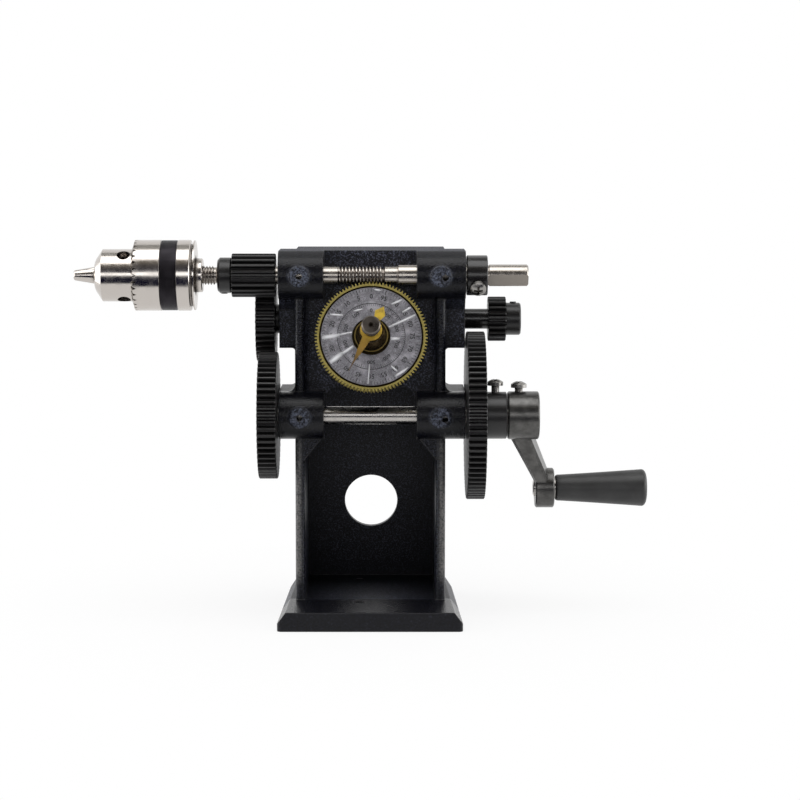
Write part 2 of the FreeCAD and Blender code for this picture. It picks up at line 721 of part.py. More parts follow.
def fine_wheel_face(teeth, phase):
    """Fine-toothed wheel in the XY plane: straight-sided teeth, thinned for the worm."""
    pitch_radius = wheel_module * count_teeth / 2.0
    tip_radius = pitch_radius + wheel_module
    root_radius = pitch_radius - 1.2 * wheel_module
    pitch = 360.0 / teeth
    tip_half = 0.11 * pitch
    root_half = 0.30 * pitch
    points = []
    for i in range(teeth):
        centre = phase + pitch * i
        for offset, radius in ((-root_half, root_radius), (-tip_half, tip_radius),
                               (tip_half, tip_radius), (root_half, root_radius)):
            a = math.radians(centre + offset)
            points.append(Vector(radius * math.cos(a), radius * math.sin(a), 0))
    return Part.Face(Part.makePolygon(points + points[:1]))


def fine_wheel(teeth, bore, z0):
    """Wheel with straight teeth; a gap faces the worm thread where it crosses mid-thickness."""
    lead = worm_pitch / (2 * math.pi * worm_pitch_radius)
    slant = math.degrees(lead / (wheel_module * count_teeth / 2.0))
    phase = 90.0 + 180.0 / teeth + slant * (z0 + wheel_thickness / 2.0)
    wheel = fine_wheel_face(teeth, phase).extrude(Vector(0, 0, wheel_thickness))
    wheel = wheel.cut(Part.makeCylinder(bore, wheel_thickness + 2, Vector(0, 0, -1)))
    wheel.translate(Vector(0, 0, z0))
    return wheel


def helical_thread(radius, depth, pitch, x0, x1, y, z, root_share, crest_share, start_angle):
    """Thread ridge round an axis along X, as a solid whose foot is sunk in the core."""
    sunk = 0.25
    length = x1 - x0
    helix = Part.makeHelix(pitch, length, radius - depth)
    half_root = pitch * root_share / 2.0
    half_crest = pitch * crest_share / 2.0
    inner = radius - depth - sunk
    outline = [Vector(inner, 0, -half_root), Vector(radius, 0, -half_crest),
               Vector(radius, 0, half_crest), Vector(inner, 0, half_root)]
    profile = Part.makePolygon(outline + outline[:1])
    ridge = Part.Wire(helix).makePipeShell([profile], True, True)
    turn = FreeCAD.Rotation(Vector(0, 1, 0), 90)
    spin = FreeCAD.Rotation(Vector(1, 0, 0), start_angle)
    ridge.Placement = FreeCAD.Placement(Vector(x0, y, z), spin.multiply(turn))
    return ridge


# ---------------------------------------------------------------- spindle pieces
def spindle_shaft():
    """Spindle: nose thread, journal, worm, shoulder, right journal and milled flat."""
    nose_end = pinion_hub_x - nose_thread_length
    worm_root = worm_crest_radius - 2.15 * wheel_module
    thread_root = nose_thread_radius - nose_thread_depth
    outline = [(nose_end, 0), (nose_end, thread_root - 1), (nose_end + 1, thread_root),
               (pinion_hub_x - 1.0, thread_root), (pinion_hub_x, spindle_left_radius),
               (worm_x_start, spindle_left_radius), (worm_x_start + 0.5, worm_root),
               (worm_x_end - 0.5, worm_root), (worm_x_end, spindle_left_radius),
               (spindle_shoulder_x, spindle_left_radius),
               (spindle_shoulder_x, spindle_right_radius),
               (spindle_right_end - 0.8, spindle_right_radius),
               (spindle_right_end, spindle_right_radius - 0.8), (spindle_right_end, 0)]
    shaft = turned_x(outline, spindle_y, spindle_z)
    worm = helical_thread(worm_crest_radius, worm_crest_radius - worm_root, worm_pitch,
                          worm_x_start + 0.6, worm_x_end - 0.6 - worm_pitch / 4, spindle_y,
                          spindle_z, 0.62, worm_tooth_gap_share, worm_start_angle)
    nose = helical_thread(nose_thread_radius, nose_thread_depth, nose_thread_pitch,
                          nose_end + 2.0, pinion_hub_x - 2.0, spindle_y, spindle_z,
                          0.80, 0.14, 0.0)
    shaft = shaft.fuse(worm).fuse(nose)
    height = spindle_right_radius - spindle_flat_depth
    flat = box(right_face + 0.5, spindle_right_end + 1, -10, 10, height, height + 10)
    flat.rotate(Vector(0, 0, 0), Vector(1, 0, 0), 90.0 - spindle_flat_angle)
    flat.translate(Vector(0, spindle_y, spindle_z))
    groove_x = right_face + collar_width
    groove = tube_x(groove_x, groove_x + end_groove_width, spindle_right_radius + 1,
                    spindle_right_radius - end_groove_depth, spindle_y, spindle_z)
    return shaft.cut(flat).cut(groove).Solids[0]


def spindle_pinion():
    bore = spindle_left_radius + seat_clearance
    gear = spur_gear(pinion_start_x, pinion_end_x, pinion_teeth, bore, spindle_phase,
                     spindle_y, spindle_z, spindle_pinion_topping)
    hub = chamfered_rod(pinion_hub_x, pinion_start_x + 0.5, spindle_pinion_hub_radius, 1.4,
                        spindle_y, spindle_z)
    hub = hub.cut(rod_x(pinion_hub_x - 1, pinion_start_x + 2, bore, spindle_y, spindle_z))
    hole = screw_hole(pinion_grub_x, spindle_y, spindle_z, -90.0, spindle_pinion_hub_radius + 2,
                      grub_radius)
    return solid_of(gear.fuse(hub).cut(hole))


def spindle_collar():
    x1 = right_face + collar_width
    ring = chamfered_rod(right_face, x1, collar_radius, 0.5, spindle_y, spindle_z)
    ring = ring.cut(rod_x(right_face - 1, x1 + 1, spindle_right_radius + seat_clearance,
                          spindle_y, spindle_z))
    return ring.cut(screw_hole(collar_screw_x, spindle_y, spindle_z, spindle_flat_angle,
                               collar_radius + 2, screw_shank_radius))


def collar_screw():
    foot = spindle_right_radius - spindle_flat_depth + seat_clearance
    return stand_on_shaft(pan_screw(collar_radius + 0.2 - foot), collar_screw_x, spindle_y,
                          spindle_z, spindle_flat_angle, foot)


# ---------------------------------------------------------------- chuck
def chuck_body():
    """Body with a cone nose, a groove for the ring nut, a rear rim and a threaded back bore."""
    nut_start = sleeve_front_x + ring_nut_from_sleeve
    nut_end = nut_start + ring_nut_width
    groove_radius = jaw_outer_radius(nut_start) - 0.5
    inner_sleeve = sleeve_outer_radius - sleeve_wall
    flange_radius = inner_sleeve - jaw_clearance
    sleeve_end = sleeve_front_x + chuck_sleeve_length
    rim = sleeve_end + rear_groove_width
    back = rim + rear_rim_width
    outline = [(chuck_nose_x, 0), (chuck_nose_x, chuck_nose_radius),
               (chuck_nose_x + 1.0, chuck_nose_radius + 2.0),
               (chuck_nose_x + chuck_nose_length, chuck_body_radius),
               (nut_start - 0.4, chuck_body_radius), (nut_start - 0.4, groove_radius),
               (nut_end + 0.4, groove_radius), (nut_end + 2.4, flange_radius),
               (rim, flange_radius), (rim, sleeve_outer_radius - 0.3),
               (back, sleeve_outer_radius - 0.3), (back, chuck_shoulder_radius),
               (back + chuck_shoulder_length - 0.6, chuck_shoulder_radius),
               (back + chuck_shoulder_length, chuck_shoulder_radius - 0.6),
               (back + chuck_shoulder_length, 0)]
    body = turned_x(outline, spindle_y, spindle_z)
    end = back + chuck_shoulder_length
    thread_bore = nose_thread_radius + running_clearance
    cutters = [rod_x(chuck_nose_x - 1, end - nose_thread_length, nose_bore_radius,
                     spindle_y, spindle_z),
               rod_x(end - nose_thread_length - 0.5, end + 1, thread_bore, spindle_y, spindle_z)]
    for i in range(jaw_count):
        angle = jaw_angle(i)
        cutters.append(jaw_rod(angle, jaw_radius + jaw_clearance, -20.0,
                               jaw_length + jaw_travel + 1.0))
        cutters.append(key_hole(angle + 180.0 / jaw_count))
    return solid_of(body.cut(Part.makeCompound(cutters)))


def jaw_angle(index):
    return key_hole_angle + 60.0 + 360.0 * index / jaw_count


def jaw_outer_radius(x):
    """Distance from the chuck's axis to the outside of a jaw at a place along X."""
    lean = math.radians(jaw_lean)
    return jaw_axis_at_nose + (x - chuck_nose_x) * math.tan(lean) + jaw_radius / math.cos(lean)


def jaw_rod(angle, radius, start, end):
    """Cylinder on a jaw's own axis; start and end are measured from the closed jaw's tip."""
    lean = math.radians(jaw_lean)
    outward = front_direction(angle)
    run = Vector(1, 0, 0) * math.cos(lean) + outward * math.sin(lean)
    at_tip = (Vector(chuck_nose_x - jaw_reach, spindle_y, spindle_z)
              + outward * (jaw_axis_at_nose - jaw_reach * math.tan(lean)))
    return Part.makeCylinder(radius, end - start, at_tip + run * start, run)


def key_hole(angle):
    """Blind hole for the chuck key's pilot."""
    hole = Part.makeCylinder(key_hole_radius, key_hole_depth + 5)
    return stand_on_shaft(hole, sleeve_front_x - key_hole_setback, spindle_y, spindle_z, angle,
                          chuck_body_radius - key_hole_depth)


def chuck_jaw(index):
    """Round jaw with two grip faces, its end turned to a cone with its neighbours."""
    angle = jaw_angle(index)
    rod = jaw_rod(angle, jaw_radius, -5.0, jaw_length)
    tip = chuck_nose_x - jaw_reach
    end = tip + jaw_length + 5
    trim = turned_x([(tip, 0), (tip, jaw_tip_radius - 0.6), (tip + 0.6, jaw_tip_radius),
                     (chuck_nose_x - 0.2, jaw_tip_radius + 2.1), (chuck_nose_x, 30), (end, 30),
                     (end, 0)], spindle_y, spindle_z)
    reach = 40.0
    apex = jaw_gap / 2.0 / math.sin(math.radians(180.0 / jaw_count))
    half = math.radians(180.0 / jaw_count)
    points = [(0, apex), (reach * math.sin(half), apex + reach * math.cos(half)),
              (-reach * math.sin(half), apex + reach * math.cos(half))]
    sector = prism_x([(y, z) for y, z in points], tip - 1, end + 1)
    sector.rotate(Vector(0, 0, 0), Vector(1, 0, 0), 90.0 - angle)
    sector.translate(Vector(0, spindle_y, spindle_z))
    return solid_of(rod.common(trim).common(sector))


def chuck_sleeve():
    """Outer sleeve: bevel teeth for the key in front, a sunk band, a wide bore behind."""
    x0 = sleeve_front_x
    x1 = x0 + chuck_sleeve_length
    front_bore = chuck_body_radius + running_clearance
    wide = sleeve_outer_radius - sleeve_wall
    nut_start = x0 + ring_nut_from_sleeve
    bevel_end = x0 + sleeve_bevel_length
    band = x0 + band_start
    rim = sleeve_outer_radius
    low = rim - band_depth
    outline = [(x0, front_bore), (x0, front_bore + 0.4), (bevel_end, rim), (band, rim),
               (band + 0.4, low), (band + band_width - 0.4, low), (band + band_width, rim),
               (x1 - 0.5, rim), (x1, rim - 0.5), (x1, wide), (nut_start - 0.2, wide),
               (nut_start - 0.2, front_bore)]
    sleeve = turned_x(outline, spindle_y, spindle_z)
    return solid_of(sleeve.cut(Part.makeCompound(bevel_cutters(front_bore + 0.4))))


def bevel_cutters(inner_radius):
    """V grooves that run up the sleeve's front cone and leave the bevel teeth standing."""
    rise = sleeve_outer_radius - inner_radius
    slope = math.hypot(sleeve_bevel_length, rise)
    along = Vector(sleeve_bevel_length / slope, 0, rise / slope)
    outward = Vector(-rise / slope, 0, sleeve_bevel_length / slope)
    across = Vector(0, 1, 0)
    start = Vector(sleeve_front_x, 0, inner_radius) - along
    half = math.pi * sleeve_outer_radius / bevel_teeth * 0.62
    ring = [start + outward * 0.6 + across * half, start + outward * 0.6 - across * half,
            start - outward * bevel_tooth_depth]
    one = Part.Face(Part.makePolygon(ring + ring[:1])).extrude(along * (slope + 2.5))
    cutters = []
    for i in range(bevel_teeth):
        cutter = one.copy()
        cutter.rotate(Vector(0, 0, 0), Vector(1, 0, 0), 360.0 * i / bevel_teeth)
        cutter.translate(Vector(0, spindle_y, spindle_z))
        cutters.append(cutter)
    return cutters


def chuck_ring_nut():
    """Split nut round the jaws, pressed into the sleeve; its bore follows the jaws' lean."""
    x0 = sleeve_front_x + ring_nut_from_sleeve
    x1 = x0 + ring_nut_width
    outer = sleeve_outer_radius - sleeve_wall
    gap = 0.1
    outline = [(x0, jaw_outer_radius(x0) + gap), (x0, outer), (x1, outer),
               (x1, jaw_outer_radius(x1) + gap)]
    ring = turned_x(outline, spindle_y, spindle_z)
    split = box(x0 - 1, x1 + 1, spindle_y - 30, spindle_y + 30, spindle_z - ring_nut_split / 2,
                spindle_z + ring_nut_split / 2)
    return ring.cut(split)


# ---------------------------------------------------------------- layshaft pieces
def dutch_pin(x0, x1, radius, y, z):
    """Pin along a shaft, half in the shaft and half in what it drives."""
    return rod_x(x0, x1, key_pin_radius, y, z + radius)


def layshaft():
    x0 = lay_gear_x - 1.0
    x1 = lay_pinion_x + lay_pinion_width + lay_pinion_hub_length
    shaft = chamfered_rod(x0, x1, layshaft_radius, 0.6, lay_y, lay_z)
    pin = rod_x(x0 - 1, lay_gear_x + key_pin_length + 0.3, key_pin_radius + seat_clearance,
                lay_y, lay_z + layshaft_radius)
    return shaft.cut(pin)


def layshaft_gear():
    bore = layshaft_radius + seat_clearance
    gear = spur_gear(lay_gear_x, lay_gear_x + lay_gear_width, lay_gear_teeth, bore, lay_phase,
                     lay_y, lay_z)
    x1 = lay_gear_x + lay_gear_width
    gear = gear.fuse(tube_x(x1 - 0.5, left_face, lay_gear_boss_radius, bore, lay_y, lay_z))
    pin = rod_x(lay_gear_x - 1, lay_gear_x + key_pin_length + 0.3,
                key_pin_radius + seat_clearance, lay_y, lay_z + layshaft_radius)
    return solid_of(gear.cut(pin))


def layshaft_pinion():
    bore = layshaft_radius + seat_clearance
    x1 = lay_pinion_x + lay_pinion_width
    x2 = x1 + lay_pinion_hub_length
    gear = spur_gear(lay_pinion_x, x1, pinion_teeth, bore, lay_pinion_phase, lay_y, lay_z)
    hub = chamfered_rod(x1 - 0.5, x2, lay_pinion_hub_radius, 0.8, lay_y, lay_z)
    hub = hub.cut(rod_x(x1 - 2, x2 + 1, bore, lay_y, lay_z))
    hole = screw_hole(lay_grub_x, lay_y, lay_z, 90.0, lay_pinion_hub_radius + 2, grub_radius)
    return solid_of(gear.fuse(hub).cut(hole))


# ---------------------------------------------------------------- crankshaft pieces
def crankshaft():
    x0 = slow_gear_x - 1.0
    shaft = chamfered_rod(x0, crank_hub_x + crank_hub_length, crankshaft_radius, 0.6,
                          crank_axis_y, crank_axis_z)
    pin = rod_x(x0 - 1, slow_gear_x + key_pin_length + 0.3, key_pin_radius + seat_clearance,
                crank_axis_y, crank_axis_z + crankshaft_radius)
    return shaft.cut(pin)


def slow_drive_gear():
    bore = crankshaft_radius + seat_clearance
    gear = spur_gear(slow_gear_x, left_face, drive_teeth_slow, bore, slow_phase,
                     crank_axis_y, crank_axis_z)
    pin = rod_x(slow_gear_x - 1, slow_gear_x + key_pin_length + 0.3,
                key_pin_radius + seat_clearance, crank_axis_y, crank_axis_z + crankshaft_radius)
    return solid_of(gear.cut(pin))


def fast_drive_gear():
    bore = crankshaft_radius + seat_clearance
    gear = spur_gear(right_face, fast_gear_end, drive_teeth_fast, bore, fast_phase,
                     crank_axis_y, crank_axis_z)
    x2 = fast_gear_end + fast_hub_length
    hub = chamfered_rod(fast_gear_end - 0.5, x2, fast_hub_radius, 0.5, crank_axis_y,
                        crank_axis_z)
    hub = hub.cut(rod_x(fast_gear_end - 2, x2 + 1, bore, crank_axis_y, crank_axis_z))
    hole = screw_hole(hub_screw_x, crank_axis_y, crank_axis_z, 90.0, fast_hub_radius + 2,
                      screw_shank_radius)
    return solid_of(gear.fuse(hub).cut(hole))


def hub_screw():
    foot = crankshaft_radius + seat_clearance
    return stand_on_shaft(pan_screw(fast_hub_radius + hub_screw_proud - foot), hub_screw_x,
                          crank_axis_y, crank_axis_z, 90.0, foot)


def crank_screw():
    foot = crankshaft_radius + seat_clearance
    return stand_on_shaft(pan_screw(crank_hub_radius + crank_screw_proud - foot), crank_screw_x,
                          crank_axis_y, crank_axis_z, 90.0, foot)


def crank_arm():
    """Arm cast in one with its hub and eye; it leans outwards so the grip clears the gear."""
    x1 = crank_hub_x + crank_hub_length
    hub = chamfered_rod(crank_hub_x, x1, crank_hub_radius, 0.8, crank_axis_y, crank_axis_z)
    eye = chamfered_rod(crank_eye_x, crank_eye_x + crank_eye_width, crank_eye_radius, 0.8,
                        grip_y, grip_z)
    swing = math.radians(crank_swing)
    along = Vector(0, math.sin(swing), -math.cos(swing))
    across = Vector(0, math.cos(swing), math.sin(swing))

    def section(distance, x_low, x_high, width):
        centre = Vector(0, crank_axis_y, crank_axis_z) + along * distance
        soft = 2.0
        half = width / 2.0
        ring = [(x_low + soft, -half), (x_high - soft, -half), (x_high, soft - half),
                (x_high, half - soft), (x_high - soft, half), (x_low + soft, half),
                (x_low, half - soft), (x_low, soft - half)]
        points = [centre + across * v + Vector(u, 0, 0) for u, v in ring]
        return Part.makePolygon(points + points[:1])
    bar = Part.makeLoft([section(8.0, crank_hub_x + 0.4, x1 - 6.0, crank_arm_width + 5.0),
                         section(crank_throw - 7.0, crank_eye_x, crank_eye_x + 9.0,
                                 crank_arm_width)], True, True)
    arm = hub.fuse(eye).fuse(bar)
    arm = arm.cut(rod_x(crank_hub_x - 5, x1 + 5, crankshaft_radius + seat_clearance,
                        crank_axis_y, crank_axis_z))
    arm = arm.cut(rod_x(crank_eye_x - 5, crank_eye_x + crank_eye_width + 5,
                        handle_pin_radius + seat_clearance, grip_y, grip_z))
    hole = screw_hole(crank_screw_x, crank_axis_y, crank_axis_z, 90.0, crank_hub_radius + 2,
                      screw_shank_radius)
    return solid_of(arm.cut(hole))


def handle_pin():
    """Pin riveted in the arm's eye; its head holds the grip on."""
    x0 = crank_eye_x - pin_rivet_height
    head = grip_x + grip_length - grip_pocket
    outline = [(x0, 0), (x0, handle_pin_radius), (x0 + 0.6, handle_pin_radius + 1.4),
               (crank_eye_x, handle_pin_radius + 1.4), (crank_eye_x, handle_pin_radius),
               (head + 0.2, handle_pin_radius), (head + 0.2, pin_head_radius),
               (head + pin_head_height - 0.5, pin_head_radius),
               (head + pin_head_height, pin_head_radius - 0.8), (head + pin_head_height, 0)]
    pin = turned_x(outline, grip_y, grip_z)
    slot = box(head + pin_head_height - 1.1, head + pin_head_height + 1,
               grip_y - pin_head_radius, grip_y + pin_head_radius,
               grip_z - recess_width / 2, grip_z + recess_width / 2)
    return pin.cut(slot)


def handle_washer():
    x0 = crank_eye_x + crank_eye_width
    return tube_x(x0, x0 + handle_washer_thickness, handle_washer_radius,
                  handle_pin_radius + running_clearance, grip_y, grip_z)


def handle_grip():
    """Tapered grip that turns freely on its pin, with a pocket for the pin's head."""
    x0 = grip_x
    x1 = x0 + grip_length
    outline = [(x0, 0), (x0, grip_small_radius - 0.6), (x0 + 0.6, grip_small_radius),
               (x1 - grip_end_round, grip_large_radius),
               (x1 - grip_end_round * 0.45, grip_large_radius - 1.0),
               (x1, grip_large_radius - grip_end_round), (x1, 0)]
    grip = turned_x(outline, grip_y, grip_z)
    grip = grip.cut(rod_x(x0 - 1, x1 + 1, handle_pin_radius + running_clearance,
                          grip_y, grip_z))
    return grip.cut(rod_x(x1 - grip_pocket, x1 + 1, pin_head_radius + 0.4, grip_y, grip_z))


# ---------------------------------------------------------------- counter pieces
def dial_post():
    """Fixed post: threaded through the casting, flange, bearing length and a centred cap."""
    end = dial_face_z + post_front
    cap = end - post_cap_length
    back = post_back - post_nut_height - 1.5
    outline = [(0, back), (post_radius - 0.6, back), (post_radius, back + 0.6),
               (post_radius, post_flange_z), (post_flange_radius, post_flange_z),
               (post_flange_radius, post_flange_z + post_flange_height),
               (post_radius, post_flange_z + post_flange_height), (post_radius, cap),
               (post_cap_radius, cap), (post_cap_radius, end - 0.8),
               (post_cap_radius - 0.8, end), (1.6, end), (0, end - 2.2)]
    return place_on_dial(turned_z(outline))


def post_nut():
    """Hexagon nut behind the front plate."""
    across_corners = post_nut_width / math.cos(math.radians(30.0)) / 2.0
    ring = [Vector(across_corners * math.cos(math.radians(60.0 * i)),
                   across_corners * math.sin(math.radians(60.0 * i)),
                   post_back - post_nut_height - 0.05) for i in range(6)]
    nut = Part.Face(Part.makePolygon(ring + ring[:1])).extrude(Vector(0, 0, post_nut_height))
    nut = nut.cut(Part.makeCylinder(post_radius + seat_clearance, 60, Vector(0, 0, -60)))
    return place_on_dial(nut)


def wave_washer():
    low = post_flange_z + post_flange_height + 0.1
    ring = Part.makeCylinder(post_flange_radius, wave_washer_thickness, Vector(0, 0, low))
    ring = ring.cut(Part.makeCylinder(post_radius + 0.15, 5, Vector(0, 0, low - 1)))
    return place_on_dial(ring)


def pointer_wheel():
    return place_on_dial(fine_wheel(pointer_teeth, sleeve_outer + seat_clearance,
                                    wheels_back_z))


def pointer_sleeve():
    """Sleeve that joins the rear wheel to the pointer in front of the dial."""
    top = dial_face_z + pointer_height - pointer_collar_height
    outline = [(post_radius + running_clearance, wheels_back_z),
               (sleeve_outer, wheels_back_z), (sleeve_outer, top),
               (post_radius + running_clearance, top)]
    return place_on_dial(turned_z(outline))


def count_wheel():
    """Front wheel with its hub, which turns on the pointer sleeve."""
    bore = sleeve_outer + running_clearance
    wheel = fine_wheel(count_teeth, bore, count_wheel_z)
    hub = turned_z([(bore, count_wheel_z + 0.2), (sleeve_radius, count_wheel_z + 0.2),
                    (sleeve_radius, dial_face_z + count_hub_height), (bore, dial_face_z
                                                                      + count_hub_height)])
    groove = turned_z([(dial_radius - 0.6, dial_z - rim_groove_depth),
                       (rim_groove_outer, dial_z - rim_groove_depth),
                       (rim_groove_outer, dial_z + 1), (dial_radius - 0.6, dial_z + 1)])
    return place_on_dial(solid_of(wheel.fuse(hub).cut(groove)))


def dial_plate():
    disc = Part.makeCylinder(dial_radius, dial_thickness, Vector(0, 0, dial_z))
    hole = Part.makeCylinder(dial_window_radius, 5, Vector(0, 0, dial_z - 1))
    return place_on_dial(disc.cut(hole))


def sleeve_clip():
    """Ring on the pointer sleeve that keeps the count wheel in place."""
    low = dial_face_z + count_hub_height + 0.15
    ring = turned_z([(sleeve_outer + seat_clearance, low), (sleeve_clip_radius, low),
                     (sleeve_clip_radius, low + sleeve_clip_height),
                     (sleeve_outer + seat_clearance, low + sleeve_clip_height)])
    return place_on_dial(ring)


def pointer_collar():
    """Brass collar that carries the pointer on the end of the sleeve."""
    low = dial_face_z + pointer_height - pointer_collar_height
    ring = turned_z([(post_radius + 0.3, low), (pointer_collar_radius - 0.5, low),
                     (pointer_collar_radius, low + 0.5),
                     (pointer_collar_radius, low + pointer_collar_height),
                     (post_radius + 0.3, low + pointer_collar_height)])
    return place_on_dial(ring)


def pointer():
    """Flat two-ended pointer: a long needle end and a short broad end."""
    low = dial_face_z + pointer_height
    neck = 1.6
    points = [(pointer_long, 0), (pointer_long * 0.72, 0.5), (pointer_long * 0.52, 1.5),
              (pointer_collar_radius * 0.7, pointer_half_width * 0.8),
              (0, pointer_collar_radius * 0.75),
              (-pointer_collar_radius * 0.85, neck), (-pointer_short * 0.72, pointer_half_width),
              (-pointer_short, 0)]
    ring = [Vector(x, y, low) for x, y in points]
    ring = ring + [Vector(x, -y, low) for x, y in points[-2:0:-1]]
    blade = Part.Face(Part.makePolygon(ring + ring[:1])).extrude(Vector(0, 0, pointer_thickness))
    blade = blade.fuse(Part.makeCylinder(pointer_collar_radius - 0.8, pointer_thickness,
                                         Vector(0, 0, low)))
    blade = blade.cut(Part.makeCylinder(post_radius + 0.3, 5, Vector(0, 0, low - 1)))
    blade.rotate(Vector(0, 0, 0), Vector(0, 0, 1), pointer_angle)
    return place_on_dial(solid_of(blade))


# ---------------------------------------------------------------- the machine
def build_all():
    nodes = {"main_frame": main_frame()}
    nodes["spindle_shaft"] = spindle_shaft()
    nodes["spindle_pinion"] = spindle_pinion()
    nodes["spindle_grub_screw"] = grub_screw(pinion_grub_x, spindle_y, spindle_z, -90.0,
                                             spindle_left_radius + seat_clearance,
                                             spindle_grub_length)
    nodes["spindle_collar"] = spindle_collar()
    nodes["collar_screw"] = collar_screw()
    nodes["chuck_body"] = chuck_body()
    nodes["chuck_sleeve"] = chuck_sleeve()
    nodes["chuck_ring_nut"] = chuck_ring_nut()
    for i in range(jaw_count):
        nodes["chuck_jaw_%d" % (i + 1)] = chuck_jaw(i)
    nodes["layshaft"] = layshaft()
    nodes["layshaft_gear"] = layshaft_gear()
    nodes["layshaft_gear_pin"] = dutch_pin(lay_gear_x, lay_gear_x + key_pin_length,
                                           layshaft_radius, lay_y, lay_z)
    nodes["layshaft_pinion"] = layshaft_pinion()
    nodes["layshaft_grub_screw"] = grub_screw(lay_grub_x, lay_y, lay_z, 90.0,
                                              layshaft_radius + seat_clearance, lay_grub_length)
    nodes["crankshaft"] = crankshaft()
    nodes["slow_drive_gear"] = slow_drive_gear()
    nodes["slow_gear_pin"] = dutch_pin(slow_gear_x, slow_gear_x + key_pin_length,
                                       crankshaft_radius, crank_axis_y, crank_axis_z)
    nodes["fast_drive_gear"] = fast_drive_gear()
    nodes["gear_hub_screw"] = hub_screw()
    nodes["crank_arm"] = crank_arm()
    nodes["crank_screw"] = crank_screw()
    nodes["handle_pin"] = handle_pin()
    nodes["handle_washer"] = handle_washer()
    nodes["handle_grip"] = handle_grip()
    nodes["dial_post"] = dial_post()
    nodes["post_nut"] = post_nut()
    nodes["wave_washer"] = wave_washer()
    nodes["pointer_wheel"] = pointer_wheel()
    nodes["pointer_sleeve"] = pointer_sleeve()
    nodes["count_wheel"] = count_wheel()
    nodes["dial_plate"] = dial_plate()
    nodes["sleeve_clip"] = sleeve_clip()
    nodes["pointer_collar"] = pointer_collar()
    nodes["pointer"] = pointer()
    return nodes


def main():
    os.makedirs("parts", exist_ok=True)
    for name, shape in build_all().items():
        if not shape.isValid():
            print("not valid:", name)
        shape.exportStep("parts/%s.step" % name)
        size = shape.BoundBox
        print("%-20s solids %d  volume %10.1f  x %.1f..%.1f  y %.1f..%.1f  z %.1f..%.1f" % (
            name, len(shape.Solids), shape.Volume, size.XMin, size.XMax, size.YMin, size.YMax,
            size.ZMin, size.ZMax))


main()
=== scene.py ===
# %% [markdown]
# # Dressing a hand-cranked coil winding machine
# The machine arrives as a finished frame: every gear, shaft and screw is already a mesh in its
# place, grouped into bodies that turn together. This lesson gives those meshes their finishes and
# adds the few pieces that a milling machine doesn't make, such as the printing on the dial.
#
# We start by loading the frame.

# %% Load the frame
import math
import bpy
import numpy as np
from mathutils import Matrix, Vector


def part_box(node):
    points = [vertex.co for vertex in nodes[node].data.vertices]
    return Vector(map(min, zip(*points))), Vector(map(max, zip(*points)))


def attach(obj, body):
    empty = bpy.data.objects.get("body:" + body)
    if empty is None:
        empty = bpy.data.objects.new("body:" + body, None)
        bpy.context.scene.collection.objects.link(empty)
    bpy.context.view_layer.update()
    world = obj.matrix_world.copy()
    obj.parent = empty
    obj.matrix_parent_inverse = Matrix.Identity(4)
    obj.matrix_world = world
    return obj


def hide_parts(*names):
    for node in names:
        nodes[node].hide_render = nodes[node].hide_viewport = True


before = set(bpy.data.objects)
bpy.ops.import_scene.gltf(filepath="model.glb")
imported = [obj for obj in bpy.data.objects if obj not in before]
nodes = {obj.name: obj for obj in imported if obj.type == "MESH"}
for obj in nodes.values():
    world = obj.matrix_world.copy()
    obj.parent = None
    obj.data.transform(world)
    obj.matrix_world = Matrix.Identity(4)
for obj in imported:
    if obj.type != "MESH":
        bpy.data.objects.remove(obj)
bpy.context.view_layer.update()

# %% [markdown]
# ## The camera
# The picture is taken from well in front of the machine with a long lens, tilted down a little, so
# that parallel edges stay nearly parallel. A sideways lens shift puts the machine left of centre
# without turning the camera, so that its front stays square to the view.

# %% Place the camera
MM = 0.001
LENS = 105.6
aim = Vector((9.0, -10.0, 133.8)) * MM
distance = 1.450
tilt_down = math.radians(6.0)
sight = Vector((0.0, math.cos(tilt_down), -math.sin(tilt_down)))
camera_data = bpy.data.cameras.new("camera")
camera_data.lens = LENS
camera_data.sensor_width = 36.0
camera_data.shift_x = 0.01875
camera_data.clip_start = 0.05
camera_data.dof.use_dof = False
camera = bpy.data.objects.new("camera", camera_data)
camera.location = aim - sight * distance
camera.rotation_euler = (math.pi / 2 - tilt_down, 0.0, 0.0)
bpy.context.scene.collection.objects.link(camera)
bpy.context.scene.camera = camera
bpy.context.scene.view_settings.view_transform = "Standard"
print("camera at", tuple(round(v, 3) for v in camera.location))

# %% [markdown]
# ## Measurements of the machine
# The new pieces are built round the same axes as the frame's own shafts. A round part's axis runs
# through the middle of its box, so the axes are read from three round nodes. The dial leans back by
# 18 degrees: `dial_up` and `dial_out` are the two directions that matter there, one up the dial's
# face and one out of it.

# %% Axes and directions
def middle(node):
    """Centre of a node's box: (lowest corner + highest corner) / 2."""
    low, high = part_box(node)
    return (low + high) / 2


SPINDLE = middle("chuck_sleeve")
GRIP_AXIS = middle("handle_grip")
lean = math.radians(18.0)
dial_right = Vector((1.0, 0.0, 0.0))
dial_up = Vector((0.0, math.sin(lean), math.cos(lean)))
dial_out = Vector((0.0, -math.cos(lean), math.sin(lean)))
DIAL_THICKNESS = 0.5 * MM
DIAL_CENTRE = middle("dial_plate") + dial_out * DIAL_THICKNESS / 2
print("spindle", tuple(round(v, 4) for v in SPINDLE))
print("dial", tuple(round(v, 4) for v in DIAL_CENTRE))

# %% [markdown]
# ## Making surfaces from formulas
# Each new piece is a grid of points worked out with numpy. A grid has rows and columns, and may
# close on itself in either direction, as a turned part closes round its axis. `grid_mesh` turns
# such an array into a mesh in one step, and `add_piece` gives it a material and lets it ride on
# the body that carries it.

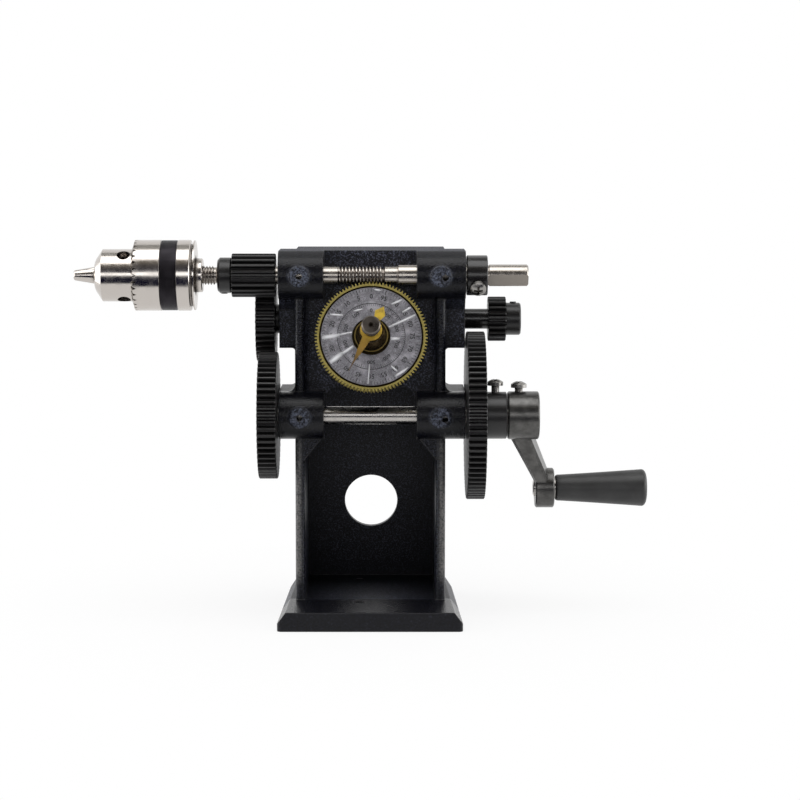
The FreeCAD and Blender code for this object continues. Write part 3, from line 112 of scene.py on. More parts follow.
# %% Mesh helpers
def grid_mesh(name, points, close_rows=False, close_columns=False, smooth=True):
    """Mesh from an array P[i, j, 3]: each cell (i, j) (i+1, j) (i+1, j+1) (i, j+1) is one face."""
    rows, columns = points.shape[:2]
    i = np.arange(rows if close_rows else rows - 1)
    j = np.arange(columns if close_columns else columns - 1)
    i, j = np.meshgrid(i, j, indexing="ij")
    i2, j2 = (i + 1) % rows, (j + 1) % columns
    quads = np.stack([i * columns + j, i2 * columns + j, i2 * columns + j2, i * columns + j2], -1)
    mesh = bpy.data.meshes.new(name)
    mesh.from_pydata(points.reshape(-1, 3).tolist(), [], quads.reshape(-1, 4).tolist())
    mesh.polygons.foreach_set("use_smooth", np.full(len(mesh.polygons), smooth))
    mesh.update()
    return mesh


def add_piece(mesh, body, material, replaced=()):
    """Object from a mesh at the origin, riding on a body and finished as one material slot."""
    piece = bpy.data.objects.new(mesh.name, mesh)
    bpy.context.scene.collection.objects.link(piece)
    mesh.materials.clear()
    mesh.materials.append(material)
    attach(piece, body)
    if replaced:
        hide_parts(*replaced)
    print(mesh.name, "has", len(mesh.polygons), "faces and rides on", body)
    return piece


def turned(profile, axis_point, around=96):
    """Points of a surface turned about X: P(s, t) = (x, y0 + r cos t, z0 + r sin t)."""
    profile = np.asarray(profile, float)
    t = np.linspace(0.0, 2.0 * np.pi, around, endpoint=False)
    x = np.repeat(profile[:, :1], around, axis=1)
    y = axis_point.y + profile[:, 1:] * np.cos(t)
    z = axis_point.z + profile[:, 1:] * np.sin(t)
    return np.stack([x, y, z], axis=-1)


def on_dial(points, height):
    """Put flat dial coordinates (right, up) in metres on the dial, height above its face."""
    points = np.asarray(points, float)
    base = np.array(DIAL_CENTRE)
    lift = np.asarray(height, float)[..., None] * np.array(dial_out)
    return (base + points[..., :1] * np.array(dial_right) + points[..., 1:2] * np.array(dial_up)
            + lift)


# %% [markdown]
# ## Building finishes from small parts
# A finish is a network of nodes. Writing every node by hand for every finish would be long, so
# `Finish` keeps the few moves that are used again and again: add a node, join two sockets, and set
# plain numbers straight on the sockets.

# %% A small helper for node networks
class Finish:
    """A material with its Principled shader, and short calls to add and join nodes."""

    def __init__(self, name, **numbers):
        self.material = bpy.data.materials.new(name)
        self.material.use_nodes = True
        self.tree = self.material.node_tree
        self.shader = self.tree.nodes["Principled BSDF"]
        for socket, value in numbers.items():
            self.shader.inputs[socket.replace("_", " ")].default_value = value

    def node(self, kind, settings=(), **numbers):
        made = self.tree.nodes.new(kind)
        for key, value in dict(settings).items():
            setattr(made, key, value)
        for socket, value in numbers.items():
            made.inputs[socket.replace("_", " ")].default_value = value
        return made

    def group(self, tree, **numbers):
        made = self.tree.nodes.new("ShaderNodeGroup")
        made.node_tree = tree
        for socket, value in numbers.items():
            made.inputs[socket.replace("_", " ")].default_value = value
        return made

    def join(self, output, socket):
        self.tree.links.new(output, socket)

    def object_place(self):
        return self.node("ShaderNodeTexCoord").outputs["Object"]

    def mixed(self, share, first, second):
        """Colour mix: each of first and second is a socket or a plain colour."""
        mix = self.node("ShaderNodeMix", {"data_type": "RGBA"})
        self.join(share, mix.inputs[0])
        for colour, socket in ((first, mix.inputs[6]), (second, mix.inputs[7])):
            if isinstance(colour, tuple):
                socket.default_value = (*colour, 1.0)
            else:
                self.join(colour, socket)
        return mix.outputs[2]

    def sum_up(self, operation, first, second, clamp=False):
        """Math node: each of first and second is a socket or a plain number."""
        math_node = self.node("ShaderNodeMath", {"operation": operation, "use_clamp": clamp})
        for value, socket in ((first, math_node.inputs[0]), (second, math_node.inputs[1])):
            if isinstance(value, (int, float)):
                socket.default_value = value
            else:
                self.join(value, socket)
        return math_node.outputs[0]

    def rescale(self, value, low, high, to_low, to_high):
        """Map Range: low..high becomes to_low..to_high, held at the ends."""
        scale = self.node("ShaderNodeMapRange", {}, From_Min=low, From_Max=high, To_Min=to_low,
                          To_Max=to_high)
        self.join(value, scale.inputs["Value"])
        return scale.outputs["Result"]

    def noise(self, scale, detail=3.0, roughness=0.5):
        """Noise on the object's own coordinates, 0 to 1."""
        cloud = self.node("ShaderNodeTexNoise", Scale=scale, Detail=detail, Roughness=roughness)
        self.join(self.object_place(), cloud.inputs["Vector"])
        return cloud.outputs["Fac"]

    def bumped(self, height, normal, strength, depth):
        """Bump of a height over a normal, joined to the shader."""
        bump = self.node("ShaderNodeBump", Strength=strength, Distance=depth)
        self.join(height, bump.inputs["Height"])
        if normal is not None:
            self.join(normal, bump.inputs["Normal"])
        self.join(bump.outputs["Normal"], self.shader.inputs["Normal"])

    def ramp(self, value, stops, smooth=True):
        """Colour ramp from (position, colour) stops, fed by a value."""
        ramp = self.node("ShaderNodeValToRGB")
        ramp.color_ramp.interpolation = "EASE" if smooth else "CONSTANT"
        marks = ramp.color_ramp.elements
        while len(marks) < len(stops):
            marks.new(0.5)
        for mark, (position, colour) in zip(marks, stops):
            mark.position = position
            mark.color = (*colour, 1.0)
        self.join(value, ramp.inputs["Fac"])
        return ramp.outputs["Color"]


def group_tree(name, inputs, outputs):
    """Empty node group with float inputs (name, value) and named outputs (name, kind)."""
    tree = bpy.data.node_groups.new(name, "ShaderNodeTree")
    for label, value in inputs:
        socket = tree.interface.new_socket(label, in_out="INPUT", socket_type="NodeSocketFloat")
        socket.default_value = value
    for label, kind in outputs:
        tree.interface.new_socket(label, in_out="OUTPUT", socket_type=kind)
    return tree, tree.nodes.new("NodeGroupInput"), tree.nodes.new("NodeGroupOutput")


# %% [markdown]
# ## Shared effects
# Five effects turn up in nearly every finish here.
#
# - **Sand grain**: iron poured into a sand mould keeps the print of the grains. Two sizes of noise,
#   one of a millimetre and one of a third of that, add up to a height.
# - **Edge wear and highlight**: paint and oxide rub off where an edge stands out, and the same
#   lighter edge also paints the highlight an edge catches. A bevelled normal differs from the true
#   normal only near an edge, so one minus their dot product marks the edges.
# - **Turning marks**: a lathe tool leaves rings round the axis. Noise that changes fast along X and
#   slowly across it gives them.
# - **Grime and shade**: oil and dust stay where a cloth can't reach, between teeth and in threads,
#   and the same darkening paints the shade that falls there. Ambient occlusion says how shut in a
#   spot is, and a little noise keeps the darkening from looking airbrushed.
# - **Dial radius**: the counter's parts change colour in rings. The distance from the dial's axis is
#   the length of the cross product of the axis with the way there from the dial's middle.

# %% Sand grain
grain_tree, grain_in, grain_out = group_tree(
    "sand_grain", [("Scale", 900.0)], [("Height", "NodeSocketFloat"), ("Coarse", "NodeSocketFloat")])
place = grain_tree.nodes.new("ShaderNodeTexCoord")
coarse = grain_tree.nodes.new("ShaderNodeTexNoise")
coarse.inputs["Detail"].default_value = 3.0
coarse.inputs["Roughness"].default_value = 0.65
fine = grain_tree.nodes.new("ShaderNodeTexVoronoi")
finer = grain_tree.nodes.new("ShaderNodeMath")
finer.operation = "MULTIPLY"
finer.inputs[1].default_value = 1.9
total = grain_tree.nodes.new("ShaderNodeMath")
total.operation = "MULTIPLY_ADD"
total.inputs[1].default_value = 0.45
for source, target in ((place.outputs["Object"], coarse.inputs["Vector"]),
                       (grain_in.outputs["Scale"], coarse.inputs["Scale"]),
                       (place.outputs["Object"], fine.inputs["Vector"]),
                       (grain_in.outputs["Scale"], finer.inputs[0]),
                       (finer.outputs[0], fine.inputs["Scale"]),
                       (fine.outputs["Distance"], total.inputs[0]),
                       (coarse.outputs["Fac"], total.inputs[2]),
                       (total.outputs[0], grain_out.inputs["Height"]),
                       (coarse.outputs["Fac"], grain_out.inputs["Coarse"])):
    grain_tree.links.new(source, target)
print("sand grain:", len(grain_tree.nodes), "nodes")

# %% Edge wear and painted highlight
edge_wear_highlight_tree, edge_mask_in, edge_mask_out = group_tree(
    "edge_wear_and_highlight", [("Radius", 0.0009), ("Strength", 3.0)],
    [("Wear and highlight", "NodeSocketFloat"), ("Normal", "NodeSocketVector")])
bevel = edge_wear_highlight_tree.nodes.new("ShaderNodeBevel")
bevel.samples = 6
surface = edge_wear_highlight_tree.nodes.new("ShaderNodeNewGeometry")
facing = edge_wear_highlight_tree.nodes.new("ShaderNodeVectorMath")
facing.operation = "DOT_PRODUCT"
away = edge_wear_highlight_tree.nodes.new("ShaderNodeMath")
away.operation = "SUBTRACT"
away.inputs[0].default_value = 1.0
stronger = edge_wear_highlight_tree.nodes.new("ShaderNodeMath")
stronger.operation = "MULTIPLY"
stronger.use_clamp = True
for source, target in ((edge_mask_in.outputs["Radius"], bevel.inputs["Radius"]),
                       (bevel.outputs["Normal"], facing.inputs[0]),
                       (surface.outputs["Normal"], facing.inputs[1]),
                       (facing.outputs["Value"], away.inputs[1]),
                       (away.outputs[0], stronger.inputs[0]),
                       (edge_mask_in.outputs["Strength"], stronger.inputs[1]),
                       (stronger.outputs[0], edge_mask_out.inputs["Wear and highlight"]),
                       (bevel.outputs["Normal"], edge_mask_out.inputs["Normal"])):
    edge_wear_highlight_tree.links.new(source, target)
print("edge wear:", len(edge_wear_highlight_tree.nodes), "nodes")

# %% Turning marks
marks_tree, marks_in, marks_out = group_tree(
    "turning_marks", [("Rings", 2600.0)],
    [("Height", "NodeSocketFloat"), ("Stain", "NodeSocketFloat")])
place = marks_tree.nodes.new("ShaderNodeTexCoord")
stretch = marks_tree.nodes.new("ShaderNodeMapping")
stretch.inputs["Scale"].default_value = (1.0, 0.02, 0.02)
rings = marks_tree.nodes.new("ShaderNodeTexNoise")
rings.inputs["Detail"].default_value = 4.0
stain = marks_tree.nodes.new("ShaderNodeTexNoise")
stain.inputs["Scale"].default_value = 160.0
stain.inputs["Detail"].default_value = 5.0
for source, target in ((place.outputs["Object"], stretch.inputs["Vector"]),
                       (stretch.outputs["Vector"], rings.inputs["Vector"]),
                       (marks_in.outputs["Rings"], rings.inputs["Scale"]),
                       (place.outputs["Object"], stain.inputs["Vector"]),
                       (rings.outputs["Fac"], marks_out.inputs["Height"]),
                       (stain.outputs["Fac"], marks_out.inputs["Stain"])):
    marks_tree.links.new(source, target)
print("turning marks:", len(marks_tree.nodes), "nodes")

# %% Grime and painted shade
grime_and_shade_tree, crevice_in, crevice_out = group_tree(
    "crevice_grime_and_shade", [("Reach", 0.003), ("Strength", 2.0)], [("Grime and shade", "NodeSocketFloat")])
shut_in = grime_and_shade_tree.nodes.new("ShaderNodeAmbientOcclusion")
shut_in.only_local = True
shut_in.samples = 8
closed = grime_and_shade_tree.nodes.new("ShaderNodeMath")
closed.operation = "SUBTRACT"
closed.inputs[0].default_value = 1.0
place = grime_and_shade_tree.nodes.new("ShaderNodeTexCoord")
patches = grime_and_shade_tree.nodes.new("ShaderNodeTexNoise")
patches.inputs["Scale"].default_value = 700.0
spread = grime_and_shade_tree.nodes.new("ShaderNodeMapRange")
spread.inputs["To Min"].default_value = 0.6
spread.inputs["To Max"].default_value = 1.4
uneven = grime_and_shade_tree.nodes.new("ShaderNodeMath")
uneven.operation = "MULTIPLY"
thicker = grime_and_shade_tree.nodes.new("ShaderNodeMath")
thicker.operation = "MULTIPLY"
thicker.use_clamp = True
for source, target in ((crevice_in.outputs["Reach"], shut_in.inputs["Distance"]),
                       (shut_in.outputs["AO"], closed.inputs[1]),
                       (place.outputs["Object"], patches.inputs["Vector"]),
                       (patches.outputs["Fac"], spread.inputs["Value"]),
                       (closed.outputs[0], uneven.inputs[0]),
                       (spread.outputs["Result"], uneven.inputs[1]),
                       (uneven.outputs[0], thicker.inputs[0]),
                       (crevice_in.outputs["Strength"], thicker.inputs[1]),
                       (thicker.outputs[0], crevice_out.inputs["Grime and shade"])):
    grime_and_shade_tree.links.new(source, target)
print("grime:", len(grime_and_shade_tree.nodes), "nodes")

# %% Distance from the dial's axis
ring_tree, _, ring_out = group_tree("dial_radius", [], [("Radius", "NodeSocketFloat")])
place = ring_tree.nodes.new("ShaderNodeTexCoord")
from_middle = ring_tree.nodes.new("ShaderNodeVectorMath")
from_middle.operation = "SUBTRACT"
from_middle.inputs[1].default_value = DIAL_CENTRE
across = ring_tree.nodes.new("ShaderNodeVectorMath")
across.operation = "CROSS_PRODUCT"
across.inputs[1].default_value = dial_out
length = ring_tree.nodes.new("ShaderNodeVectorMath")
length.operation = "LENGTH"
for source, target in ((place.outputs["Object"], from_middle.inputs[0]),
                       (from_middle.outputs["Vector"], across.inputs[0]),
                       (across.outputs["Vector"], length.inputs[0]),
                       (length.outputs["Value"], ring_out.inputs["Radius"])):
    ring_tree.links.new(source, target)
print("dial radius:", len(ring_tree.nodes), "nodes")

# %% [markdown]
# ## The casting's paint
# The frame is a rough iron casting under thick blue-black paint. The sand's grain goes into the bump,
# and the small bluish glints off that grain are painted into the colour as a field of flecks. Along
# the edges the paint is thin and greyer, and the edge mask lightens them, as worn paint and as a
# painted highlight; elsewhere the colour stays almost black. Round the four oil holes paler bluish
# flecks are painted too, painted glints: that patch is a soft ball round each hole, multiplied by a
# fine noise.
#
# The walls behind the bosses were never rubbed down, so the painted glints cover them, fewer deep
# inside and in the corners, which are shut in, where painted shade dims them. Along the front edge
# of each cheek, between the foot and the ears, a pale rim is painted: a painted highlight where the
# side lamps catch the edge. Three places are rougher than the rest: the top of the frame, where dust
# lies, the front skirt of the foot, and the raw walls.

# %% Casting paint
OIL_PADS = [(x, y, z) for x in (-42.9, 42.9) for y, z in ((-41.2, 211.6), (-41.7, 126.0))]
PAD_REACH = 8.5 * MM
PAD_CORE = 0.55                               # share of the reach where the painted glints are full
RAW_WALLS = (-29.0 * MM, -19.0 * MM)          # Y, from smooth to raw
DEEP_WALLS = (30.0 * MM, 34.0 * MM)           # Y, from all the glints to fewer
DEEP_GLINTS = 0.45
CHEEK_EDGE = (41.6 * MM, 43.2 * MM)           # distance from the middle
OVER_FOOT = (20.0 * MM, 30.0 * MM)            # Z
UNDER_EARS = (108.0 * MM, 113.0 * MM)         # Z
FRAME_TOP = (190.0 * MM, 210.0 * MM)          # Z
SMOOTH_PAINT, RAW_PAINT, SKIRT_PAINT, DUSTY_PAINT = 0.25, 0.42, 0.60, 0.62


def casting_paint():
    f = Finish("casting_paint", Metallic=0.0)
    f.shader.inputs["Specular IOR Level"].default_value = 0.24
    grain = f.group(grain_tree, Scale=700.0)
    edge_wear_highlight = f.group(edge_wear_highlight_tree, Radius=0.0012, Strength=2.2)
    base = f.ramp(grain.outputs["Coarse"], [(0.30, (0.0022, 0.0022, 0.0030)),
                                            (0.58, (0.0045, 0.0047, 0.0075)),
                                            (0.78, (0.020, 0.021, 0.031))])
    # painted glints: bluish flecks in the base colour stand for sparkle off the sand grain
    glints = f.rescale(f.noise(1250.0, 2.0, 0.6), 0.50, 0.66, 0.0, 1.0)
    # shut-in corners dim the painted glints: painted shade
    corner = f.group(grime_and_shade_tree, Reach=0.022, Strength=1.3)
    open_part = f.sum_up("SUBTRACT", 1.0, corner.outputs["Grime and shade"])
    apart = f.node("ShaderNodeSeparateXYZ")
    f.join(f.object_place(), apart.inputs[0])
    recessed = f.rescale(apart.outputs["Y"], *RAW_WALLS, 0.0, 1.0)
    from_middle_plane = f.sum_up("ABSOLUTE", apart.outputs["X"], 0.0)
    at_edge = f.rescale(from_middle_plane, *CHEEK_EDGE, 0.0, 1.0)
    glints = f.sum_up("MULTIPLY", f.sum_up("MULTIPLY", glints, open_part), recessed)
    glints = f.sum_up("MULTIPLY", glints,
                      f.rescale(apart.outputs["Y"], *DEEP_WALLS, 1.0, DEEP_GLINTS))
    base = f.mixed(glints, base, (0.115, 0.125, 0.175))
    # lighter edges: worn paint and a painted highlight
    rubbed_and_lit = f.sum_up("MULTIPLY", edge_wear_highlight.outputs["Wear and highlight"], f.noise(240.0, 4.0), clamp=True)
    worn_and_lit = f.mixed(rubbed_and_lit, base, (0.13, 0.125, 0.12))
    normal = f.node("ShaderNodeSeparateXYZ")
    f.join(f.node("ShaderNodeNewGeometry").outputs["Normal"], normal.inputs[0])
    sideways = f.sum_up("ABSOLUTE", normal.outputs["X"], 0.0)
    frontal = f.rescale(sideways, 0.93, 0.99, 1.0, 0.0)
    between = f.sum_up("MULTIPLY", f.rescale(apart.outputs["Z"], *UNDER_EARS, 1.0, 0.0),
                       f.rescale(apart.outputs["Z"], *OVER_FOOT, 0.0, 1.0))
    # painted highlight: a pale rim on the cheeks' front edges where the side lamps catch them
    painted_rim_highlight = f.sum_up("MULTIPLY", f.sum_up("MULTIPLY", frontal, at_edge), between)
    patchy = f.rescale(f.noise(800.0, 3.0, 0.6), 0.35, 0.65, 0.25, 1.0)
    worn_and_lit = f.mixed(f.sum_up("MULTIPLY", painted_rim_highlight, patchy), worn_and_lit, (0.17, 0.165, 0.16))
    nearest = None
    for pad in OIL_PADS:
        distance = f.node("ShaderNodeVectorMath", {"operation": "DISTANCE"})
        f.join(f.object_place(), distance.inputs[0])
        distance.inputs[1].default_value = [v * MM for v in pad]
        reach = distance.outputs["Value"]
        nearest = reach if nearest is None else f.sum_up("MINIMUM", nearest, reach)
    # painted glints: paler bluish flecks on the glossy pads round the oil holes
    patch = f.rescale(nearest, PAD_REACH * PAD_CORE, PAD_REACH, 1.0, 0.0)
    painted_pad_glints = f.rescale(f.noise(900.0, 3.0, 0.65), 0.40, 0.72, 0.0, 0.80)
    f.join(f.mixed(f.sum_up("MULTIPLY", patch, painted_pad_glints), worn_and_lit, (0.19, 0.215, 0.29)),
           f.shader.inputs["Base Color"])
    dusty = f.sum_up("MULTIPLY", f.rescale(normal.outputs["Z"], 0.6, 0.95, 0.0, DUSTY_PAINT),
                     f.rescale(apart.outputs["Z"], *FRAME_TOP, 0.0, 1.0))
    skirt = f.sum_up("MULTIPLY", f.rescale(normal.outputs["Y"], -0.7, -0.3, SKIRT_PAINT, 0.0),
                     f.rescale(apart.outputs["Z"], *OVER_FOOT, 1.0, 0.0))
    raw = f.sum_up("MULTIPLY", recessed, RAW_PAINT)
    rough = f.sum_up("MAXIMUM", f.sum_up("MAXIMUM", dusty, skirt),
                     f.sum_up("MAXIMUM", raw, SMOOTH_PAINT))
    f.join(rough, f.shader.inputs["Roughness"])
    f.bumped(grain.outputs["Height"], edge_wear_highlight.outputs["Normal"], 0.30, 0.0007)
    return f.material


# %% [markdown]
# ## Blackened and grey iron
# The gears on the left are dull black from an oxide bath. The large right gear and the crank arm
# are a shade lighter. Both finishes are the same recipe with other numbers: a faint mottling in the
# colour, a little grain, lighter edges as wear and as a painted highlight where they catch the
# light, and darkening between the teeth as grime and painted shade.

# %% Oxide-black iron and grey iron
def dark_iron(name, colour, edge_wear_highlight_colour, roughness, grain_scale, grain_depth, metallic=0.0):
    f = Finish(name, Roughness=roughness, Metallic=metallic)
    f.shader.inputs["Specular IOR Level"].default_value = 0.5
    darker = tuple(c * 0.7 for c in colour)
    lighter = tuple(c * 1.35 for c in colour)
    base = f.ramp(f.noise(130.0, 6.0, 0.6), [(0.3, darker), (0.7, lighter)])
    edge_wear_highlight = f.group(edge_wear_highlight_tree, Radius=0.0004, Strength=1.6)
    # lighter edges: wear and a painted highlight; darker crevices: grime and painted shade
    edged_and_lit = f.mixed(edge_wear_highlight.outputs["Wear and highlight"], base, edge_wear_highlight_colour)
    grime_and_shade = f.group(grime_and_shade_tree, Reach=0.0025, Strength=1.5)
    f.join(f.mixed(grime_and_shade.outputs["Grime and shade"], edged_and_lit, tuple(c * 0.3 for c in colour)),
           f.shader.inputs["Base Color"])
    grain = f.group(grain_tree, Scale=grain_scale)
    f.bumped(grain.outputs["Height"], edge_wear_highlight.outputs["Normal"], grain_depth, 0.0003)
    return f.material


# %% [markdown]
# ## Turned steel, nickel and brass
# Turned metal is a mirror with rings in it. The base colour is the metal's own reflection, the
# metallic value is 1, and the rings go into the bump and slightly into the roughness. Plated parts
# have faint rings and bare shafts have stronger ones, with stains where old oil has dried. In the
# threads and between the teeth the crevice mask darkens the colour and makes the surface rougher:
# dirt there takes the shine away, and the darkening also paints the shade that falls there.
#
# The spindle's right end has a flat, ground dull for a set screw. It is the only place where the
# surface faces one way, 33 degrees under the horizontal, so its own normal tells it apart.

# %% Turned metals
flat_down = math.radians(33.0)
FLAT_FACES = (0.0, -math.cos(flat_down), -math.sin(flat_down))


def turned_metal(name, colour, stain_colour, roughness, rings, depth, stain_from=0.62,
                 crevice_colour=(0.030, 0.022, 0.015), reach=0.0030, crevice_strength=2.2, ground=False):
    f = Finish(name, Metallic=1.0, Roughness=roughness)
    marks = f.group(marks_tree, Rings=rings)
    base = f.ramp(marks.outputs["Stain"], [(stain_from, colour), (stain_from + 0.2, stain_colour)])
    rough = f.rescale(marks.outputs["Stain"], 0.35, 0.75, roughness * 0.8, roughness * 1.5)
    if ground:
        facing = f.node("ShaderNodeVectorMath", {"operation": "DOT_PRODUCT"})
        f.join(f.node("ShaderNodeNewGeometry").outputs["Normal"], facing.inputs[0])
        facing.inputs[1].default_value = FLAT_FACES
        flat = f.rescale(facing.outputs["Value"], 0.996, 0.998, 0.0, 1.0)
        base = f.mixed(flat, base, (0.33, 0.30, 0.27))
        rough = f.sum_up("MAXIMUM", rough, f.sum_up("MULTIPLY", flat, 0.50))
    grime_and_shade = f.group(grime_and_shade_tree, Reach=reach, Strength=crevice_strength)
    f.join(f.mixed(grime_and_shade.outputs["Grime and shade"], base, crevice_colour), f.shader.inputs["Base Color"])
    rough = f.sum_up("ADD", rough, f.sum_up("MULTIPLY", grime_and_shade.outputs["Grime and shade"], 0.35), clamp=True)
    f.join(rough, f.shader.inputs["Roughness"])
    f.bumped(marks.outputs["Height"], None, depth, 0.0001)
    return f.material


# %% [markdown]
# ## The counting wheels' brass
# The wheels are olive brass, darker between the teeth, as grime and painted shade. The hub in the
# middle, seen through the dial's window, is painted dark as the shade there, with a thin painted gold
# highlight round it, and the sunk ring between the dial and the rim is painted dark too, a painted
# shadow. Those are rings about one axis, so a ramp over the dial radius paints all of them.

# %% Brass in rings
def wheel_brass(name, colour):
    f = Finish(name, Metallic=1.0, Roughness=0.36)
    ring = f.group(ring_tree)
    steps = f.rescale(ring.outputs["Radius"], 0.0, 40.0 * MM, 0.0, 1.0)
    # painted shade on the hub in the window and in the sunk ring; a painted gold highlight round the
    # hub
    painted_shade, painted_gold_highlight = (0.016, 0.012, 0.009), (0.30, 0.22, 0.075)
    rings = f.ramp(steps, [(0.0, painted_shade), (9.5 / 40, painted_gold_highlight), (10.1 / 40, painted_shade), (30.2 / 40, painted_shade),
                           (31.45 / 40, colour), (36.5 / 40, colour)], smooth=False)
    marks = f.noise(520.0, 4.0, 0.65)
    stained = f.mixed(f.rescale(marks, 0.42, 0.72, 0.0, 0.55), rings, (0.12, 0.095, 0.03))
    grime_and_shade = f.group(grime_and_shade_tree, Reach=0.0022, Strength=2.4)
    f.join(f.mixed(grime_and_shade.outputs["Grime and shade"], stained, (0.022, 0.016, 0.006)),
           f.shader.inputs["Base Color"])
    f.join(f.rescale(marks, 0.3, 0.7, 0.30, 0.46), f.shader.inputs["Roughness"])
    edge_wear_highlight = f.group(edge_wear_highlight_tree, Radius=0.0002, Strength=1.0)
    f.bumped(marks, edge_wear_highlight.outputs["Normal"], 0.15, 0.0001)
    return f.material


# %% [markdown]
# ## Moulded grip, printed sheet and clear film
# The grip is black plastic with a satin skin. The dial is grey sheet under a clear film that was
# stretched over it and never lay flat, so it is creased. The film is a thin clear layer: mostly see
# through, with sharp reflections, and whiter where it is folded, as whitened film and as a painted
# highlight off the folds. The sheet itself is cloudy, with pale blotches where the film sticks to it.

# %% Grip plastic, dial sheet, print and film
def grip_plastic():
    f = Finish("grip_plastic", Roughness=0.46, Metallic=0.0)
    f.join(f.ramp(f.noise(90.0, 5.0), [(0.3, (0.012, 0.012, 0.012)), (0.7, (0.024, 0.024, 0.024))]),
           f.shader.inputs["Base Color"])
    grain = f.group(grain_tree, Scale=1800.0)
    f.bumped(grain.outputs["Height"], None, 0.12, 0.0002)
    return f.material


def dial_sheet():
    f = Finish("dial_sheet", Roughness=0.42, Metallic=0.25)
    cloud = f.ramp(f.noise(420.0, 8.0, 0.8), [(0.34, (0.065, 0.062, 0.075)),
                                              (0.50, (0.175, 0.17, 0.19)),
                                              (0.68, (0.37, 0.355, 0.39))])
    smudges = f.rescale(f.noise(150.0, 5.0, 0.66), 0.56, 0.68, 0.0, 0.55)
    soiled = f.mixed(smudges, cloud, (0.11, 0.10, 0.115))
    blotches = f.rescale(f.noise(105.0, 5.0, 0.62), 0.36, 0.46, 0.6, 0.0)
    f.join(f.mixed(blotches, soiled, (0.50, 0.49, 0.53)), f.shader.inputs["Base Color"])
    return f.material


def plain_finish(name, colour, roughness, metallic=0.0, scale=400.0):
    f = Finish(name, Roughness=roughness, Metallic=metallic)
    f.join(f.ramp(f.noise(scale), [(0.3, tuple(c * 0.75 for c in colour)), (0.7, colour)]),
           f.shader.inputs["Base Color"])
    return f.material


def clear_film():
    f = Finish("clear_film", Roughness=0.12, Metallic=0.0)
    f.shader.inputs["Base Color"].default_value = (0.92, 0.92, 0.95, 1.0)
    crease = f.node("ShaderNodeAttribute", {"attribute_name": "crease"})
    # the film turns opaque white on the creases: whitened film and a painted highlight
    f.join(f.rescale(crease.outputs["Fac"], 0.0, 1.0, 0.05, 0.95), f.shader.inputs["Alpha"])
    return f.material


# %% [markdown]
# ## The pointer's lacquer
# The short end of the pointer is bright yellow. Along the needle the lacquer is thin and the brown
# metal comes through, more and more towards the tip. So the colour follows the distance along the
# needle. The tip is the vertex furthest from the dial's axis, and it gives the direction.

# %% Find the needle's tip and paint along it
spots = np.array([v.co[:] for v in nodes["pointer"].data.vertices]) - np.array(DIAL_CENTRE)
flat_spots = spots - np.outer(spots @ np.array(dial_out), np.array(dial_out))
needle = flat_spots[np.argmax(np.linalg.norm(flat_spots, axis=1))]
needle_length = float(np.linalg.norm(needle))
needle_way = needle / needle_length
print("needle:", round(needle_length * 1000, 2), "mm long, towards", needle_way.round(3))


def pointer_lacquer():
    f = Finish("pointer_lacquer", Roughness=0.38, Metallic=0.0)
    run = f.node("ShaderNodeVectorMath", {"operation": "DOT_PRODUCT"})
    f.join(f.object_place(), run.inputs[0])
    run.inputs[1].default_value = needle_way.tolist()
    zero = float(np.array(DIAL_CENTRE) @ needle_way)
    along = f.rescale(run.outputs["Value"], zero - 0.5 * needle_length, zero + needle_length,
                      0.0, 1.0)
    coat = f.ramp(along, [(0.0, (0.66, 0.46, 0.050)), (0.36, (0.52, 0.34, 0.035)),
                          (0.56, (0.34, 0.20, 0.030)), (0.90, (0.085, 0.045, 0.018))])
    thin = f.rescale(f.noise(420.0, 4.0), 0.45, 0.7, 0.0, 0.6)
    f.join(f.mixed(thin, coat, (0.22, 0.13, 0.025)), f.shader.inputs["Base Color"])
    return f.material


# %% Make the finishes once
paint = casting_paint()
black_iron = dark_iron("oxide_black_iron", (0.0050, 0.0045, 0.0046), (0.040, 0.038, 0.038), 0.32,
                       1400.0, 0.16)
grey_iron = dark_iron("grey_iron", (0.088, 0.086, 0.083), (0.18, 0.175, 0.17), 0.28, 1300.0, 0.12,
                      metallic=0.85)
gear_iron = dark_iron("gear_iron", (0.0085, 0.0080, 0.0085), (0.055, 0.053, 0.055), 0.32,
                      1500.0, 0.12)
black_steel = dark_iron("blackened_steel", (0.012, 0.011, 0.011), (0.055, 0.053, 0.052), 0.22,
                        2200.0, 0.08)
shaft_steel = turned_metal("turned_steel", (0.44, 0.42, 0.40), (0.26, 0.22, 0.18), 0.24, 5200.0, 0.03)
spindle_steel = turned_metal("spindle_steel", (0.42, 0.39, 0.355), (0.24, 0.20, 0.165), 0.24, 5200.0,
                             0.03, crevice_colour=(0.12, 0.092, 0.075), reach=0.0020, crevice_strength=1.5, ground=True)
nickel = turned_metal("bright_nickel", (0.535, 0.498, 0.465), (0.44, 0.405, 0.37), 0.18, 4200.0, 0.06,
                      0.66, crevice_strength=2.6)
dull_nickel = turned_metal("dull_nickel", (0.30, 0.29, 0.275), (0.16, 0.14, 0.12), 0.26, 4200.0, 0.10,
                           crevice_strength=2.0)
brass = wheel_brass("wheel_brass", (0.60, 0.50, 0.16))
# darkened brass for the small parts at the dial's hub: its dark colour paints the shade inside the
# dial's window
dark_brass = turned_metal("darkened_brass", (0.085, 0.062, 0.035), (0.30, 0.21, 0.08), 0.26, 3800.0, 0.2,
                          0.56)
post_steel = turned_metal("post_steel", (0.13, 0.115, 0.10), (0.06, 0.05, 0.045), 0.34, 6000.0, 0.25)
sheet = dial_sheet()
yellow = pointer_lacquer()
print("finishes:", len(bpy.data.materials))

# %% [markdown]
# ## Dress the frame's own pieces
# Every machined or cast node already has the right shape, so it only needs its finish. A table says
# which finish goes on which node; the few nodes left out are replaced by new pieces below.

